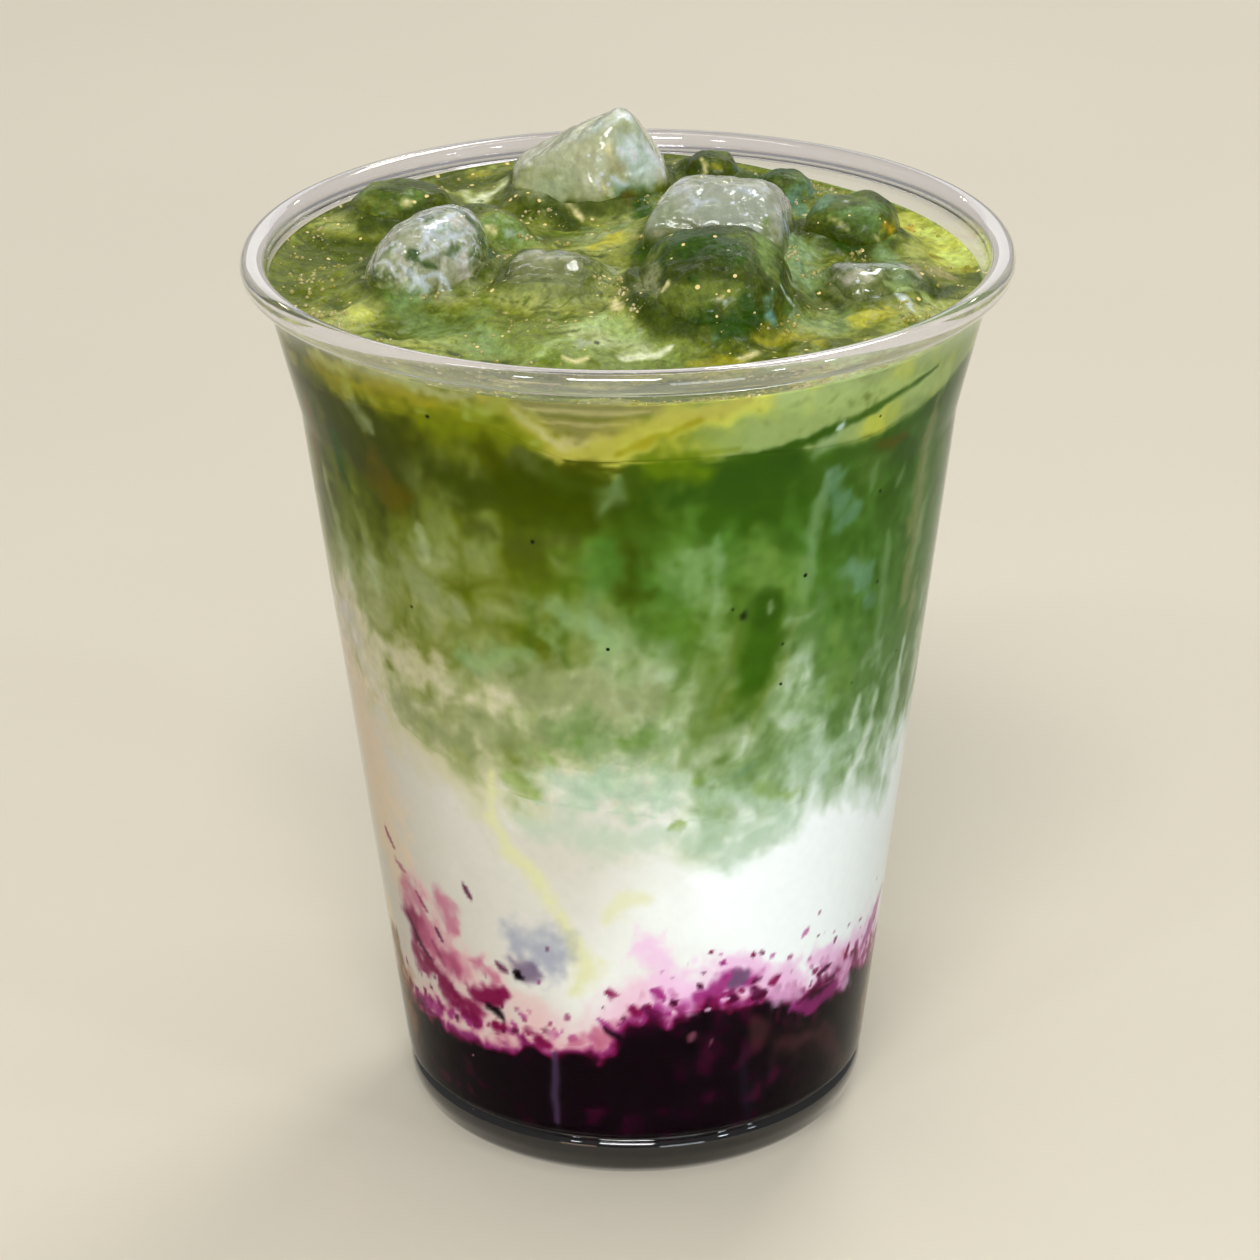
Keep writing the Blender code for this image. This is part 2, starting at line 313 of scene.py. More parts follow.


# Marks on the wall, from the foam down to the compote: (azimuth, height). Some are painted light: warm light
# at the left, refracted amber light at the edges and window reflections in the compote.
WALL_MARKS = (
    Tint.FROTH_YELLOW.wisp(0.8, 0.85, (-57, 110.5), (-46, 111.5), (-35.5, 112), (-25, 111.5),
        (-16.5, 113.5)),
    Tint.OLIVE.haze(3.2, 0.7, (-40.5, 108.5), (-28.5, 109), (-17, 110)),
    Tint.OLIVE_BROWN.haze(3.2, 0.8, (-47.5, 101.5), (-43.5, 96)),
    Tint.DEEP_OLIVE.haze(3.4, 0.9, (-32, 102.5), (-27.5, 98)),
    Tint.DEEP_OLIVE.haze(3.2, 0.95, (-18, 103), (-11.5, 100), (-6.5, 99.5)),
    Tint.DEEP_OLIVE.haze(1.8, 0.9, (-12, 105.5), (-6, 106)),
    Tint.OLIVE_DARK.haze(2.6, 0.8, (-26, 94.5), (-19, 93), (-12, 94.5)),
    Tint.DEEP_GREEN.patch(1.5, 0.9, (-59, 101), (-58, 95)),
    Tint.PALE_SAGE.stream(1.71, 0.51, (-52, 110.5), (-49.5, 108), (-46, 105)),
    Tint.PALE_SAGE.stream(1.52, 0.45, (-68.5, 94.5), (-64.5, 85.5), (-63.5, 77.5)),
    Tint.PALE_SAGE.stream(1.33, 0.38, (-56.5, 93.5), (-54, 87.5), (-53, 81.5)),
    Tint.PALE_SAGE.stream(1.14, 0.45, (-39.5, 93), (-37.5, 89)),
    Tint.PALE_SAGE.stream(1.14, 0.45, (-33.5, 84.5), (-30.5, 82)),
    Tint.EDGE_BROWN.wisp(1.3, 0.8, (-68.5, 104.5), (-72, 97.5), (-73, 91.5)),
    Tint.GREY_GREEN.haze(3, 0.7, (-44.5, 87.5), (-35.5, 84)),
    Tint.MILK_GREY.haze(3.2, 0.8, (-52.5, 73), (-40, 74)),
    Tint.MILK_GREY.haze(2.2, 0.7, (-27, 72.5), (-21, 72)),
    Tint.SAGE_GREEN.haze(3, 0.7, (-30, 77.5), (-20.5, 77.5)),
    Tint.SAGE_GREEN.haze(3.6, 0.7, (-12.5, 84), (-5.5, 80)),
    Tint.DEEP_GREEN.haze(2.2, 0.7, (-3.5, 92.5), (1.5, 88.5)),
    Tint.TEAL_SOFT.stream(1.9, 0.46, (-5.5, 98.5), (-3, 101.5), (-2, 104)),
    Tint.TEAL_SOFT.stream(1.52, 0.34, (-7.5, 81.5), (-6, 87), (-2.5, 91)),
    Tint.OLIVE_HALO.patch(1.5, 0.7, (-23.5, 81), (-23, 80)),
    Tint.OLIVE_HALO.line(0.7, 0.9, (-53.5, 71.5), (-52, 70.5)),
    Tint.FROTH_LIME.patch(2.2, 0.9, (-4.5, 105), (1.5, 109), (10.5, 112.5), (20, 113)),
    Tint.FROTH_PALE.patch(2.4, 0.9, (23.5, 112.5), (36, 111), (50, 109.5), (63.5, 108)),
    Tint.FROTH_EDGE.line(0.6, 0.6, (1.5, 106), (11, 106.5), (17.5, 107)),
    Tint.DEEP_GREEN.haze(2.4, 0.95, (16, 103.5), (24, 103.5), (30, 103.5)),
    Tint.DEEP_GREEN.haze(1.8, 0.95, (16, 100), (21.5, 99.5)),
    Tint.DEEP_GREEN.haze(2, 0.9, (3, 100), (9.5, 100.5)),
    Tint.OLIVE_GREEN.haze(2.5, 0.8, (3, 105), (11, 104)),
    Tint.DEEP_GREEN.patch(1.2, 0.9, (35, 106.5), (28, 106), (22.5, 106)),
    Tint.TEAL_SOFT.stream(1.9, 0.41, (32, 104), (35.5, 106)),
    Tint.OLIVE_BROWN.patch(1.2, 0.7, (45, 103), (52, 102)),
    Tint.TEA_TEAL.haze(2.4, 0.6, (36, 100), (40.5, 93.5)),
    Tint.TEA_TEAL.haze(2, 0.6, (44, 87), (48.5, 80.5)),
    Tint.TEAL_SOFT.stream(1.52, 0.49, (34.5, 100.5), (33.5, 95), (32.5, 89.5), (32, 84)),
    Tint.TEAL_SOFT.stream(1.14, 0.42, (14.8, 95), (15.4, 90), (14.6, 84)),
    Tint.TEAL_SOFT.stream(1.14, 0.34, (46, 100.5), (45.5, 96.5)),
    Tint.TEAL_SOFT.stream(1.14, 0.46, (55, 98), (53.5, 95.5)),
    Tint.TEAL_SOFT.stream(1.33, 0.51, (65.5, 90.5), (64, 86.5), (63.5, 82.5)),
    Tint.TEAL_SOFT.stream(1.33, 0.41, (52, 89.5), (53, 79.5), (52.5, 71)),
    Tint.EDGE_TAN.stream(2.2, 0.55, (62, 105), (61.5, 97), (62, 85.5), (61.5, 77.5)),
    Tint.EDGE_TAN.stream(1.6, 0.5, (67, 78.5), (65, 72)),
    Tint.SAGE_GREEN.haze(3, 0.6, (11.5, 92), (16, 80.5)),
    Tint.LEAF_GREEN.haze(3.2, 0.6, (22.5, 91), (31, 84)),
    Tint.LEAF_GREEN.haze(3, 0.6, (38.5, 77), (45, 70)),
    Tint.DEEP_OLIVE.haze(2.6, 0.8, (-1, 92.5), (0, 87)),
    Tint.LEAF_OLIVE.haze(4.2, 0.6, (24.5, 83), (24, 77), (22, 70)),
    Tint.DROP_GREEN.drop(3.4, 0.95, (24.6, 83.6), (24.4, 79), (23.2, 74.6)),
    Tint.DROP_GREEN.stream(2.4, 0.6, (23, 75), (21.6, 70.5), (19.5, 67)),
    Tint.DEEP_GREEN.drop(2.6, 0.8, (24.7, 84.8), (24.6, 83)),
    Tint.PALE_SAGE.stream(1.0, 0.6, (25.4, 84.6), (25.2, 83.2)),
    Tint.TEA_BLACK.line(0.7, 0.9, (20, 83), (20.5, 84)),
    Tint.GREY_GREEN.haze(3, 0.7, (-50, 66.5), (-34.5, 64)),
    Tint.GREEN_SPOT.patch(1.5, 0.7, (-19.5, 65), (-16, 63.5)),
    Tint.GREEN_SPOT.patch(1.5, 0.6, (-26.5, 59.5), (-21, 58.5)),
    Tint.GREEN_SPOT.line(0.9, 0.8, (-10.5, 66.5), (-9.5, 66.5)),
    Tint.GREEN_SPOT.patch(1.5, 0.8, (-2.5, 67), (1.5, 67)),
    Tint.MILK_GREEN.haze(4, 0.7, (-6, 61.5), (5, 58.5)),
    Tint.MILK_GREEN.haze(3.5, 0.7, (13, 58), (28, 56)),
    Tint.MILK_GREEN.haze(3, 0.6, (34, 61), (47.5, 61)),
    Tint.PALE_SAGE.stream(1.71, 0.45, (21, 67), (16.5, 65), (12, 63.5)),
    Tint.TEA_TEAL.stream(1.52, 0.38, (24, 62), (20.5, 60.5)),
    Tint.GREEN_SPOT.wisp(1.2, 0.8, (13, 61), (13.5, 60)),
    Tint.GREEN_SPOT.wisp(1.1, 0.7, (7, 53.5), (10, 54.5)),
    Tint.GREEN_SPOT.patch(1.4, 0.5, (25.5, 58.5), (32.5, 56)),
    Tint.MILK_WHITE.stream(1.26, 0.5, (64, 71), (64, 59.5), (63, 48)),
    Tint.MILK_WHITE.stream(1.12, 0.44, (55.5, 66), (53, 59.5), (49, 55)),
    Tint.MILK_WHITE.stream(0.98, 0.44, (49, 66.5), (47, 62.5)),
    Tint.MILK_CREAM.haze(4.5, 0.8, (-27.5, 50.5), (-10.5, 51)),
    Tint.VEIN_YELLOW.stream(1.5, 0.75, (-29, 60), (-30, 53), (-26, 49), (-20.5, 46), (-16, 41),
        (-13.5, 35)),
    Tint.VEIN_YELLOW.stream(2.2, 0.7, (-12.5, 36.5), (-10.5, 33), (-13, 29)),
    Tint.VEIN_YELLOW.stream(1.8, 0.5, (-7, 40), (-2, 43), (3.5, 43.5)),
    # painted warm light at the left edge of the milk and the compote
    Tint.PEACH_WARM_LIGHT.stream(8, 0.6, (-74, 68), (-68, 52), (-64, 38)),
    Tint.PEACH_WARM_LIGHT.wisp(1.6, 0.9, (-77, 25.5), (-75, 31)),
    Tint.PINK_HAZE.haze(3.2, 0.8, (-53, 38), (-47.5, 33.5), (-40, 27.5)),
    Tint.PINK_HAZE.haze(2.4, 0.7, (-36, 31), (-26.5, 25), (-19.5, 21.5)),
    Tint.WINE.line(0.6, 0.55, (-64, 40), (-59.5, 39)),
    Tint.WINE.line(0.6, 0.95, (-56, 37), (-52, 35)),
    Tint.WINE.patch(1.5, 0.85, (-55.5, 32), (-48.5, 30), (-45, 28)),
    Tint.BERRY_DARK.line(0.6, 0.9, (-52, 31), (-48.5, 28)),
    Tint.ROSE.haze(3.4, 0.75, (-60, 36), (-52, 33), (-45, 29)),
    Tint.ROSE.stream(2.6, 0.8, (-47, 39), (-43.5, 34)),
    Tint.WINE.stream(2.6, 0.85, (-62, 32.5), (-56, 30)),
    Tint.ROSE.patch(1.8, 0.7, (-55, 31), (-49, 28.5)),
    Tint.WINE.patch(1.6, 0.9, (-54, 27), (-46, 24), (-39, 22)),
    Tint.WINE.patch(2.2, 0.85, (-60, 27), (-56, 25.5)),
    Tint.WINE.patch(2.0, 0.85, (-50, 23.5), (-43, 21)),
    Tint.ROSE.patch(1.6, 0.8, (-37, 31), (-34, 29)),
    Tint.BERRY_DARK.line(0.6, 0.9, (-62, 32.5), (-57, 29), (-53, 27.5)),
    Tint.BERRY_DARK.line(0.5, 0.9, (-50, 33.5), (-47.5, 31.5)),
    Tint.WINE.line(0.5, 0.8, (-67, 44), (-63, 41.5)),
    Tint.BERRY_DARK.line(0.5, 0.8, (-39, 42), (-37, 40)),
    Tint.BERRY_DARK.line(0.4, 0.8, (-59.5, 30), (-57.5, 29)),
    Tint.BLUE_GREY.stream(4.4, 0.85, (-27, 36.5), (-20.5, 34.5), (-17.5, 32)),
    Tint.BLUE_MAUVE.stream(2.0, 0.75, (-28.5, 32.5), (-25, 31), (-21.5, 30.5)),
    Tint.BERRY_BLACK.line(0.9, 1, (-27.5, 30.5), (-26, 30)),
    Tint.BERRY_DARK.line(0.8, 0.8, (-32, 31.5), (-29.5, 30.5)),
    Tint.BERRY_DARK.line(0.4, 0.9, (-19.5, 35), (-19, 35)),
    Tint.WINE.patch(2, 0.95, (-38, 25), (-31.5, 26.5)),
    Tint.BERRY_BLACK.wisp(1.4, 0.95, (-36, 24), (-33.5, 22)),
    Tint.WINE.patch(1.2, 0.9, (-26, 21.5), (-22, 20.5)),
    Tint.WINE.wisp(1, 0.95, (-6.5, 29), (-4, 29)),
    Tint.ROSE.patch(1.4, 0.9, (-15, 21), (-8, 22), (-5, 24)),
    Tint.MAGENTA.wisp(0.7, 0.9, (-8, 25.5), (-5.5, 24), (-2.5, 22.5)),
    Tint.BERRY_BLACK.wisp(0.8, 0.95, (-6.5, 24), (-2.5, 22), (3.5, 21.5)),
    Tint.PINK_PALE.haze(2.8, 0.7, (1, 36), (7.5, 32), (12, 28.5)),
    Tint.PINK_PALE.haze(3, 0.8, (23.5, 32), (40.5, 26)),
    Tint.PINK_PALE.patch(2, 0.8, (44.5, 29), (60, 23)),
    Tint.MAGENTA.wisp(1, 0.95, (4, 29.5), (6.5, 29)),
    Tint.BERRY_DARK.line(0.7, 0.95, (8.5, 28), (9, 27.5)),
    Tint.BERRY_DARK.line(0.6, 0.95, (14, 30), (15, 29.5)),
    Tint.WINE.line(0.45, 0.95, (16.5, 35), (17, 34.5)),
    Tint.MAGENTA.line(0.65, 0.95, (19.5, 32.5), (20, 33)),
    Tint.WINE.line(0.65, 0.95, (27, 33), (27.5, 33)),
    Tint.MAGENTA.line(0.5, 0.6, (31.5, 32), (32.5, 32.5)),
    Tint.MAGENTA.line(0.5, 0.6, (40, 33.5), (41.5, 34.5)),
    Tint.BERRY_DARK.line(0.3, 0.8, (45, 32.5), (45.5, 32.5)),
    Tint.WINE.line(0.3, 0.6, (44.5, 36), (45, 36.5)),
    Tint.MAGENTA.patch(1.6, 0.9, (14.5, 28.5), (21.5, 29.5), (29, 29)),
    Tint.BLUE_MAUVE.wisp(1.6, 0.85, (22.5, 29), (26, 30)),
    Tint.BERRY_DARK.wisp(0.8, 0.9, (28, 28.5), (30, 29)),
    Tint.WINE.wisp(0.9, 0.9, (32, 28), (34.5, 28.5)),
    Tint.BERRY_DARK.wisp(0.9, 0.95, (28, 26), (30.5, 27)),
    Tint.BERRY_DARK.wisp(1.1, 0.95, (41, 23.5), (49.5, 23.5), (52.5, 24.5)),
    Tint.BERRY_DARK.line(0.5, 0.9, (46.5, 26), (51, 26.5)),
    Tint.WINE.line(0.6, 0.9, (56.5, 26), (58, 28)),
    Tint.MAGENTA.patch(1.2, 0.8, (40, 23), (47, 22), (53, 23)),
    Tint.MAGENTA.stream(1.6, 0.7, (66, 25.5), (72, 28), (78, 31.5)),
    # painted amber light refracted at the left and right edges of the wall, with the brown wisps beside it
    Tint.EDGE_BROWN.wisp(1.6, 0.9, (75, 13.5), (78, 19)),
    Tint.AMBER_REFRACTED_LIGHT.stream(4.5, 0.9, (-76, 25), (-73, 19), (-70, 12.5)),
    Tint.AMBER_REFRACTED_LIGHT.stream(3.5, 0.7, (82, 24), (79, 17), (77, 10)),
    Tint.EDGE_BROWN.wisp(1.2, 0.8, (-71.5, 27), (-73.5, 21)),
    Tint.BERRY_BROWN.haze(3, 0.8, (30, 21), (42, 17)),
    Tint.BERRY_BROWN.haze(3, 0.8, (49.5, 17), (65, 8.5)),
    Tint.ROSE.stream(0.9, 0.6, (12.5, 21.5), (13.5, 22.5)),
    Tint.ROSE.line(0.35, 0.8, (17.5, 20.5), (18, 21)),
    Tint.PINK_PALE.line(0.35, 0.9, (16.5, 26), (17.5, 26)),
    Tint.PINK_PALE.line(0.3, 0.9, (20, 27), (22, 27)),
    # painted reflections of two windows: faint upright strips down the compote
    Tint.MAUVE_STRIP_REFLECTION.line(0.9, 0.8, (-19, 19), (-19.5, 8.5)),
    Tint.BLUE_STRIP_REFLECTION.line(0.8, 0.4, (26.5, 18.5), (28.5, 7)),
    Tint.GREY_GREEN.haze(5.0, 0.75, (-20, 74), (-9, 72), (2, 73)),
    Tint.LEAF_FRESH.haze(4.2, 0.6, (-12, 67), (-3, 66), (6, 66)),
    Tint.GREY_GREEN.haze(3.6, 0.6, (-30, 67), (-20, 66)),
    Tint.MILK_GREEN.haze(4.0, 0.7, (-16, 61), (0, 60), (10, 60)),
    Tint.MILK_GREEN.haze(3.4, 0.7, (13, 51.5), (21, 50), (30, 52)),
    Tint.MILK_WHITE.haze(2.6, 0.75, (15, 44.5), (20, 42), (26, 44.5)),
    Tint.MILK_GREEN.haze(3.4, 0.5, (-22, 54), (-8, 52.5), (4, 53)),
    Tint.DEEP_OLIVE.blob(3.4, 0.8, (-24, 100.5), (-15, 98.5), (-9, 98)),
    Tint.DEEP_OLIVE.blob(1.8, 0.8, (-8.5, 104), (-5, 103.6)),
    Tint.LEAF_DEEP.haze(3.0, 0.8, (-5, 92), (-3, 89)),
    Tint.DEEP_GREEN.blob(2.0, 0.75, (14, 101.5), (20, 103), (28, 104.5)),
)

# Marks on the foam and the ice: (x, y, z). Some are painted light and shade: cream and teal glints, a
# highlight, lit tops and shade at the feet of lumps.
TOP_MARKS = (
    # pale foam at the front
    Tint.FROTH_PALE.haze(6, 0.6, (-24, -21, 114.5), (-12, -27, 114.5), (3, -27, 114.5)),
    Tint.FROTH_WHITE.stream(3.0, 0.55, (-9, -21.5, 114.5), (-4, -22.5, 114.5), (2, -26.5, 114.5)),
    Tint.ICE_STONE.haze(3.5, 0.6, (-8, 12, 115), (0, 14, 115)),
    Tint.FOAM_HIGH.haze(4.0, 0.55, (-19, 9, 118), (-17, 11, 118.5), (-15, 11, 117)),
    Tint.FOAM_LOW.haze(5.0, 0.35, (-39, -8, 114.5), (-36, 2, 115)),
    # the clear lump at the left
    Tint.ICE_SAGE.patch(5, 0.75, (-26.5, -10, 121.5), (-23.5, -10, 117.5)),
    Tint.LEAF_GREEN.patch(2.6, 0.6, (-30, -11.5, 116.5), (-27, -12, 115.5)),
    Tint.ICE_GREY.line(1.9, 0.9, (-26.5, -3, 123.5), (-24.5, -2, 124)),
    Tint.GLACIER.wisp(1.6, 0.75, (-23.5, -6.5, 123), (-22, -4.5, 123)),
    Tint.STAR_WHITE.wisp(0.7, 0.9, (-22, -2, 123.5), (-23.5, -5.5, 123.5), (-25, -7.5, 123),
        (-26, -10, 121.5)),
    Tint.STAR_WHITE.wisp(0.55, 0.85, (-27.5, -7, 123), (-25, -7.5, 123), (-22.5, -7.5, 122),
        (-20, -4.5, 122)),
    Tint.STAR_WHITE.line(0.45, 0.8, (-25, -8.5, 122.5), (-24, -9, 121), (-26, -10.5, 120.5)),
    Tint.STAR_WHITE.wisp(0.55, 0.85, (-28.5, -11, 120), (-26.5, -11.5, 118), (-25.5, -11.5, 116),
        (-26.5, -12, 114)),
    Tint.STAR_WHITE.line(0.45, 0.8, (-26.5, -11.5, 118), (-24, -10, 118.5), (-22.5, -10, 117),
        (-22, -9.5, 115)),
    Tint.STAR_WHITE.line(0.4, 0.7, (-27.5, -12, 116.5), (-26.5, -11.5, 118), (-24.5, -11, 116.5)),
    Tint.ICE_WARM.wisp(1.3, 0.7, (-21, -8, 119.5), (-20, -7.5, 117.5)),
    Tint.DEEP_GREEN.wisp(1, 0.8, (-27.5, -10.5, 120.5), (-26.5, -10, 121)),
    Tint.DEEP_GREEN.wisp(0.8, 0.8, (-26, -10.5, 120), (-24.5, -10, 119.5)),
    Tint.DEEP_GREEN.wisp(0.8, 0.6, (-22.5, -8.5, 121), (-21, -7, 121)),
    Tint.OLIVE_GREEN.wisp(1, 0.6, (-21.5, -9, 116.5), (-22, -10.5, 114.5)),
    Tint.ICE_RIM.line(0.5, 0.85, (-28.5, -6.5, 123), (-30, -8, 121.5), (-32, -8, 119), (-33.5, -4, 115)),
    Tint.ICE_RIM.line(0.5, 0.6, (-20, -7.5, 117.5), (-19, -5.5, 118), (-17.5, -2, 116.5)),
    # the coated lump at the back left
    # painted shade under the lump's front
    Tint.DEEP_OLIVE.patch(2.6, 0.8, (-33.5, 17, 115), (-29.5, 16.5, 116), (-26.5, 19, 117.5)),
    Tint.LEAF_GREEN.wisp(1.5, 0.7, (-30, 18, 118), (-26.5, 21.5, 119)),
    Tint.CREAM_GLINT.wisp(0.7, 0.8, (-29.5, 18.5, 118), (-28, 19, 118.5)),
    Tint.FROTH_WHITE.wisp(1.6, 0.95, (-22, 33, 115), (-20, 30, 115), (-17, 32.5, 115), (-16, 35, 115)),
    Tint.TEA_BLACK.line(0.6, 0.9, (-23.5, 32.5, 115), (-23.5, 32, 115)),
    Tint.DEEP_GREEN.line(0.5, 0.9, (-19.5, 29.5, 115), (-19, 29.5, 115)),
    Tint.OLIVE_GOLD.wisp(1.4, 0.9, (-21, 38, 115.5), (-18, 38.5, 115)),
    Tint.CREAM_GLINT.wisp(0.8, 0.8, (-25.5, 34.5, 115), (-24, 34, 115)),
    Tint.FROTH_LIME.patch(2, 0.8, (-34.5, -14, 114), (-33, -15.5, 114)),
    # the gap beside the left lump, with painted shade down the gap
    Tint.DEEP_GREEN.wisp(1.4, 0.9, (-21, -1, 123), (-18.5, -2.5, 120), (-17, 4.5, 115)),
    Tint.OLIVE_DARK.wisp(1.2, 0.8, (-17, 2.5, 115), (-15.5, -8, 116.5), (-14.5, -10.5, 115)),
    Tint.CREAM_GLINT.line(0.8, 0.9, (-16.5, -3.5, 115), (-16, -9, 114.5), (-15, -15.5, 114.5)),
    Tint.CREAM_GLINT.line(0.5, 0.7, (-20.5, -12.5, 114.5), (-19, -9, 114.5), (-17, -4.5, 114.5)),
    Tint.OLIVE_GREEN.wisp(1.2, 0.7, (-18, -9, 114.5), (-17, -17, 114.5)),
    Tint.TEA_BLACK.line(0.8, 0.7, (-14.5, -8.5, 117), (-14.5, -9, 116.5)),
    # the coated lump behind the left one
    Tint.LEAF_GREEN.patch(3, 0.7, (-16.5, 10.5, 118), (-14, 11, 115.5)),
    Tint.GLACIER.wisp(1, 0.7, (-15.5, 10, 117), (-14.5, 10.5, 115.5)),
    Tint.GLACIER.wisp(0.6, 0.7, (-12, 13, 115.5), (-11, 12.5, 115.5)),
    Tint.CREAM_GLINT.wisp(0.7, 0.7, (-17.5, 10, 117.5), (-17, 9, 117)),
    # foam at the left
    Tint.SAGE_GREEN.patch(3.4, 0.5, (-28.5, -14, 114.5), (-23, -18, 114.5), (-19, -17, 114.5)),
    Tint.SAGE_GREEN.patch(2.4, 0.5, (-19.5, -20.5, 114.5), (-15.5, -25.5, 114.5)),
    Tint.DEEP_OLIVE.wisp(1.1, 0.85, (-30.5, -20, 114), (-28, -22, 114)),
    Tint.DEEP_OLIVE.wisp(0.9, 0.85, (-22, -26, 114), (-20, -27, 114)),
    Tint.DEEP_OLIVE.wisp(0.8, 0.8, (-18, -28.5, 114), (-13, -29.5, 114)),
    # the tall lump at the back
    Tint.ICE_SAGE.haze(9, 0.85, (-9, 26.5, 121.5), (-5, 24, 121)),
    Tint.ICE_STONE.patch(3, 0.7, (-10.5, 25.5, 118.5), (-7.5, 24, 118.5)),
    Tint.ICE_GREY.patch(2.4, 0.5, (-7, 29.5, 124), (-3.5, 27, 125)),
    Tint.GLACIER.patch(3.6, 0.8, (0, 26.5, 123.5), (1, 26, 121), (1.5, 25.5, 119)),
    Tint.ICE_TAN.patch(1.3, 0.6, (-2, 24, 121), (-1, 24, 120)),
    Tint.STAR_WHITE.wisp(0.8, 0.85, (-0.5, 27, 125), (0.5, 26, 122.5), (0.5, 25.5, 121)),
    Tint.STAR_WHITE.wisp(0.7, 0.85, (0.5, 27, 124.5), (2.5, 28, 122), (3.5, 28, 120.5), (4.5, 29.5, 119)),
    Tint.STAR_WHITE.wisp(0.7, 0.85, (-2, 23.5, 119.5), (-1, 24, 118.5), (0.5, 24.5, 118)),
    Tint.STAR_WHITE.wisp(0.9, 0.8, (-1.5, 25, 123), (-0.5, 25.5, 122.5)),
    Tint.CREAM_GLINT.wisp(0.5, 0.85, (-3, 25.5, 124), (-3, 25, 123), (-2.5, 24.5, 122)),
    Tint.CREAM_GLINT.line(0.4, 0.8, (-3.5, 23.5, 119.5), (-3, 23, 118.5), (-3, 23, 117.5)),
    Tint.TEA_TEAL.patch(1.2, 0.6, (-1, 23.5, 117.5), (1.5, 25, 117)),
    Tint.LEAF_GREEN.wisp(1.2, 0.8, (2.5, 31, 123), (3.5, 29.5, 121.5), (4.5, 32, 119.5)),
    Tint.OLIVE_GREY.patch(1.6, 0.6, (-6, 23, 117.5), (-5, 23, 118.5)),
    # the foot of the tall lump, with painted shade in the dark patches round it
    Tint.DEEP_OLIVE.patch(2.4, 0.9, (-10.5, 24, 115), (-8, 19.5, 115), (-6, 17, 115)),
    Tint.DEEP_OLIVE.patch(2.2, 0.8, (-4.5, 22.5, 115.5), (-2.5, 22.5, 115), (-0.5, 23.5, 115.5)),
    Tint.DEEP_GREEN.patch(1.8, 0.9, (2.5, 25, 115.5), (3, 19, 115)),
    Tint.OLIVE_BROWN.wisp(1.4, 0.8, (-0.5, 23.5, 116.5), (1.5, 24.5, 116)),
    Tint.CREAM_GLINT.wisp(0.8, 0.95, (-8, 23, 115.5), (-6.5, 21, 115), (-6, 19.5, 115)),
    Tint.CREAM_GLINT.line(0.35, 0.8, (0, 21, 115), (1, 24, 115), (2, 25, 115.5)),
    Tint.OLIVE_GREEN.wisp(1.6, 0.8, (-11.5, 15.5, 115.5), (-9, 15, 115.5), (-6, 13.5, 115)),
    Tint.SAGE_GREEN.patch(1.8, 0.5, (-5, 17, 115), (-1.5, 15.5, 115), (1, 16.5, 115)),
    Tint.FROTH_YELLOW.patch(1.7, 0.85, (-5, 7, 115.5), (-3, 8, 115), (-0.5, 10.5, 115)),
    Tint.DEEP_OLIVE.line(0.5, 0.8, (-5, 4, 115.5), (-3.5, 4.5, 115.5), (-2, 5.5, 115)),
    # the pale lump behind the front one
    Tint.ICE_GREY.patch(6.5, 0.85, (9, 5.5, 122.5), (14.5, 4, 122.5)),
    Tint.ICE_STONE.patch(3, 0.8, (4, 3.5, 120), (5.5, 4.5, 121.5)),
    Tint.ICE_GREY.patch(2.6, 0.8, (15, 3, 121.5), (17, 4.5, 122)),
    Tint.STAR_WHITE.wisp(0.5, 0.7, (8, 6.5, 123), (9, 4.5, 122), (11, 5, 122.5), (12, 4, 122)),
    Tint.STAR_WHITE.wisp(0.4, 0.6, (7.5, 3.5, 121), (9, 4.5, 122)),
    Tint.STAR_WHITE.wisp(0.5, 0.7, (13, 7, 123.5), (15, 6.5, 123), (17, 5, 122.5)),
    Tint.ICE_RIM.wisp(0.6, 0.8, (3.5, 4, 119), (5, 3, 119), (8, 2.5, 119.5)),
    Tint.STAR_WHITE.line(1.1, 1, (18.5, 5, 121), (19.5, 4.5, 120), (20.5, 7.5, 117)),
    Tint.TEA_TEAL.wisp(0.9, 0.7, (14, 34.5, 117), (15.5, 40.5, 114.5)),
    # the small lumps at the back
    Tint.DEEP_OLIVE.wisp(4, 0.9, (8.5, 36, 117.5), (11, 34, 117.5)),
    Tint.CREAM_GLINT.line(0.5, 0.8, (10, 35, 118.5), (10.5, 34, 118), (10.5, 33.5, 117)),
    Tint.OLIVE_GOLD.wisp(0.8, 0.8, (11.5, 34, 118), (12.5, 34, 117.5)),
    Tint.DEEP_GREEN.wisp(4, 0.9, (18, 38.5, 114.5), (19.5, 27.5, 116.5)),
    Tint.TEA_TEAL.patch(2.2, 0.7, (23, 27, 116), (25.5, 33.5, 114)),
    # the big coated lump in front
    Tint.DEEP_OLIVE.patch(10, 0.9, (5, -15, 120), (12.5, -20, 120.5)),
    Tint.DEEP_GREEN.patch(3, 0.75, (3, 3.5, 116.5), (7.5, -11.5, 122.5), (14, -16, 122.5)),
    # painted light on the lump's upper front
    Tint.LEAF_OLIVE.patch(3.2, 0.8, (5.5, -19, 118.5), (9.5, -20.5, 119.5), (12.5, -21, 119)),
    Tint.ICE_SAGE.patch(2.4, 0.7, (2.5, -12, 118.5), (3.5, -16.5, 118)),
    Tint.LEAF_LIGHT.wisp(2, 0.85, (17.5, 2, 120.5), (17.5, -11, 121.5), (17, -17, 120)),
    # painted shade round the lump's base
    Tint.DEEP_GREEN.patch(2.4, 0.9, (8.5, -22, 115.5), (12, -22.5, 115.5), (14, -22, 116)),
    Tint.DEEP_OLIVE.patch(2.6, 0.85, (1.5, -17, 115), (4, -20.5, 114.5), (7.5, -22.5, 114.5)),
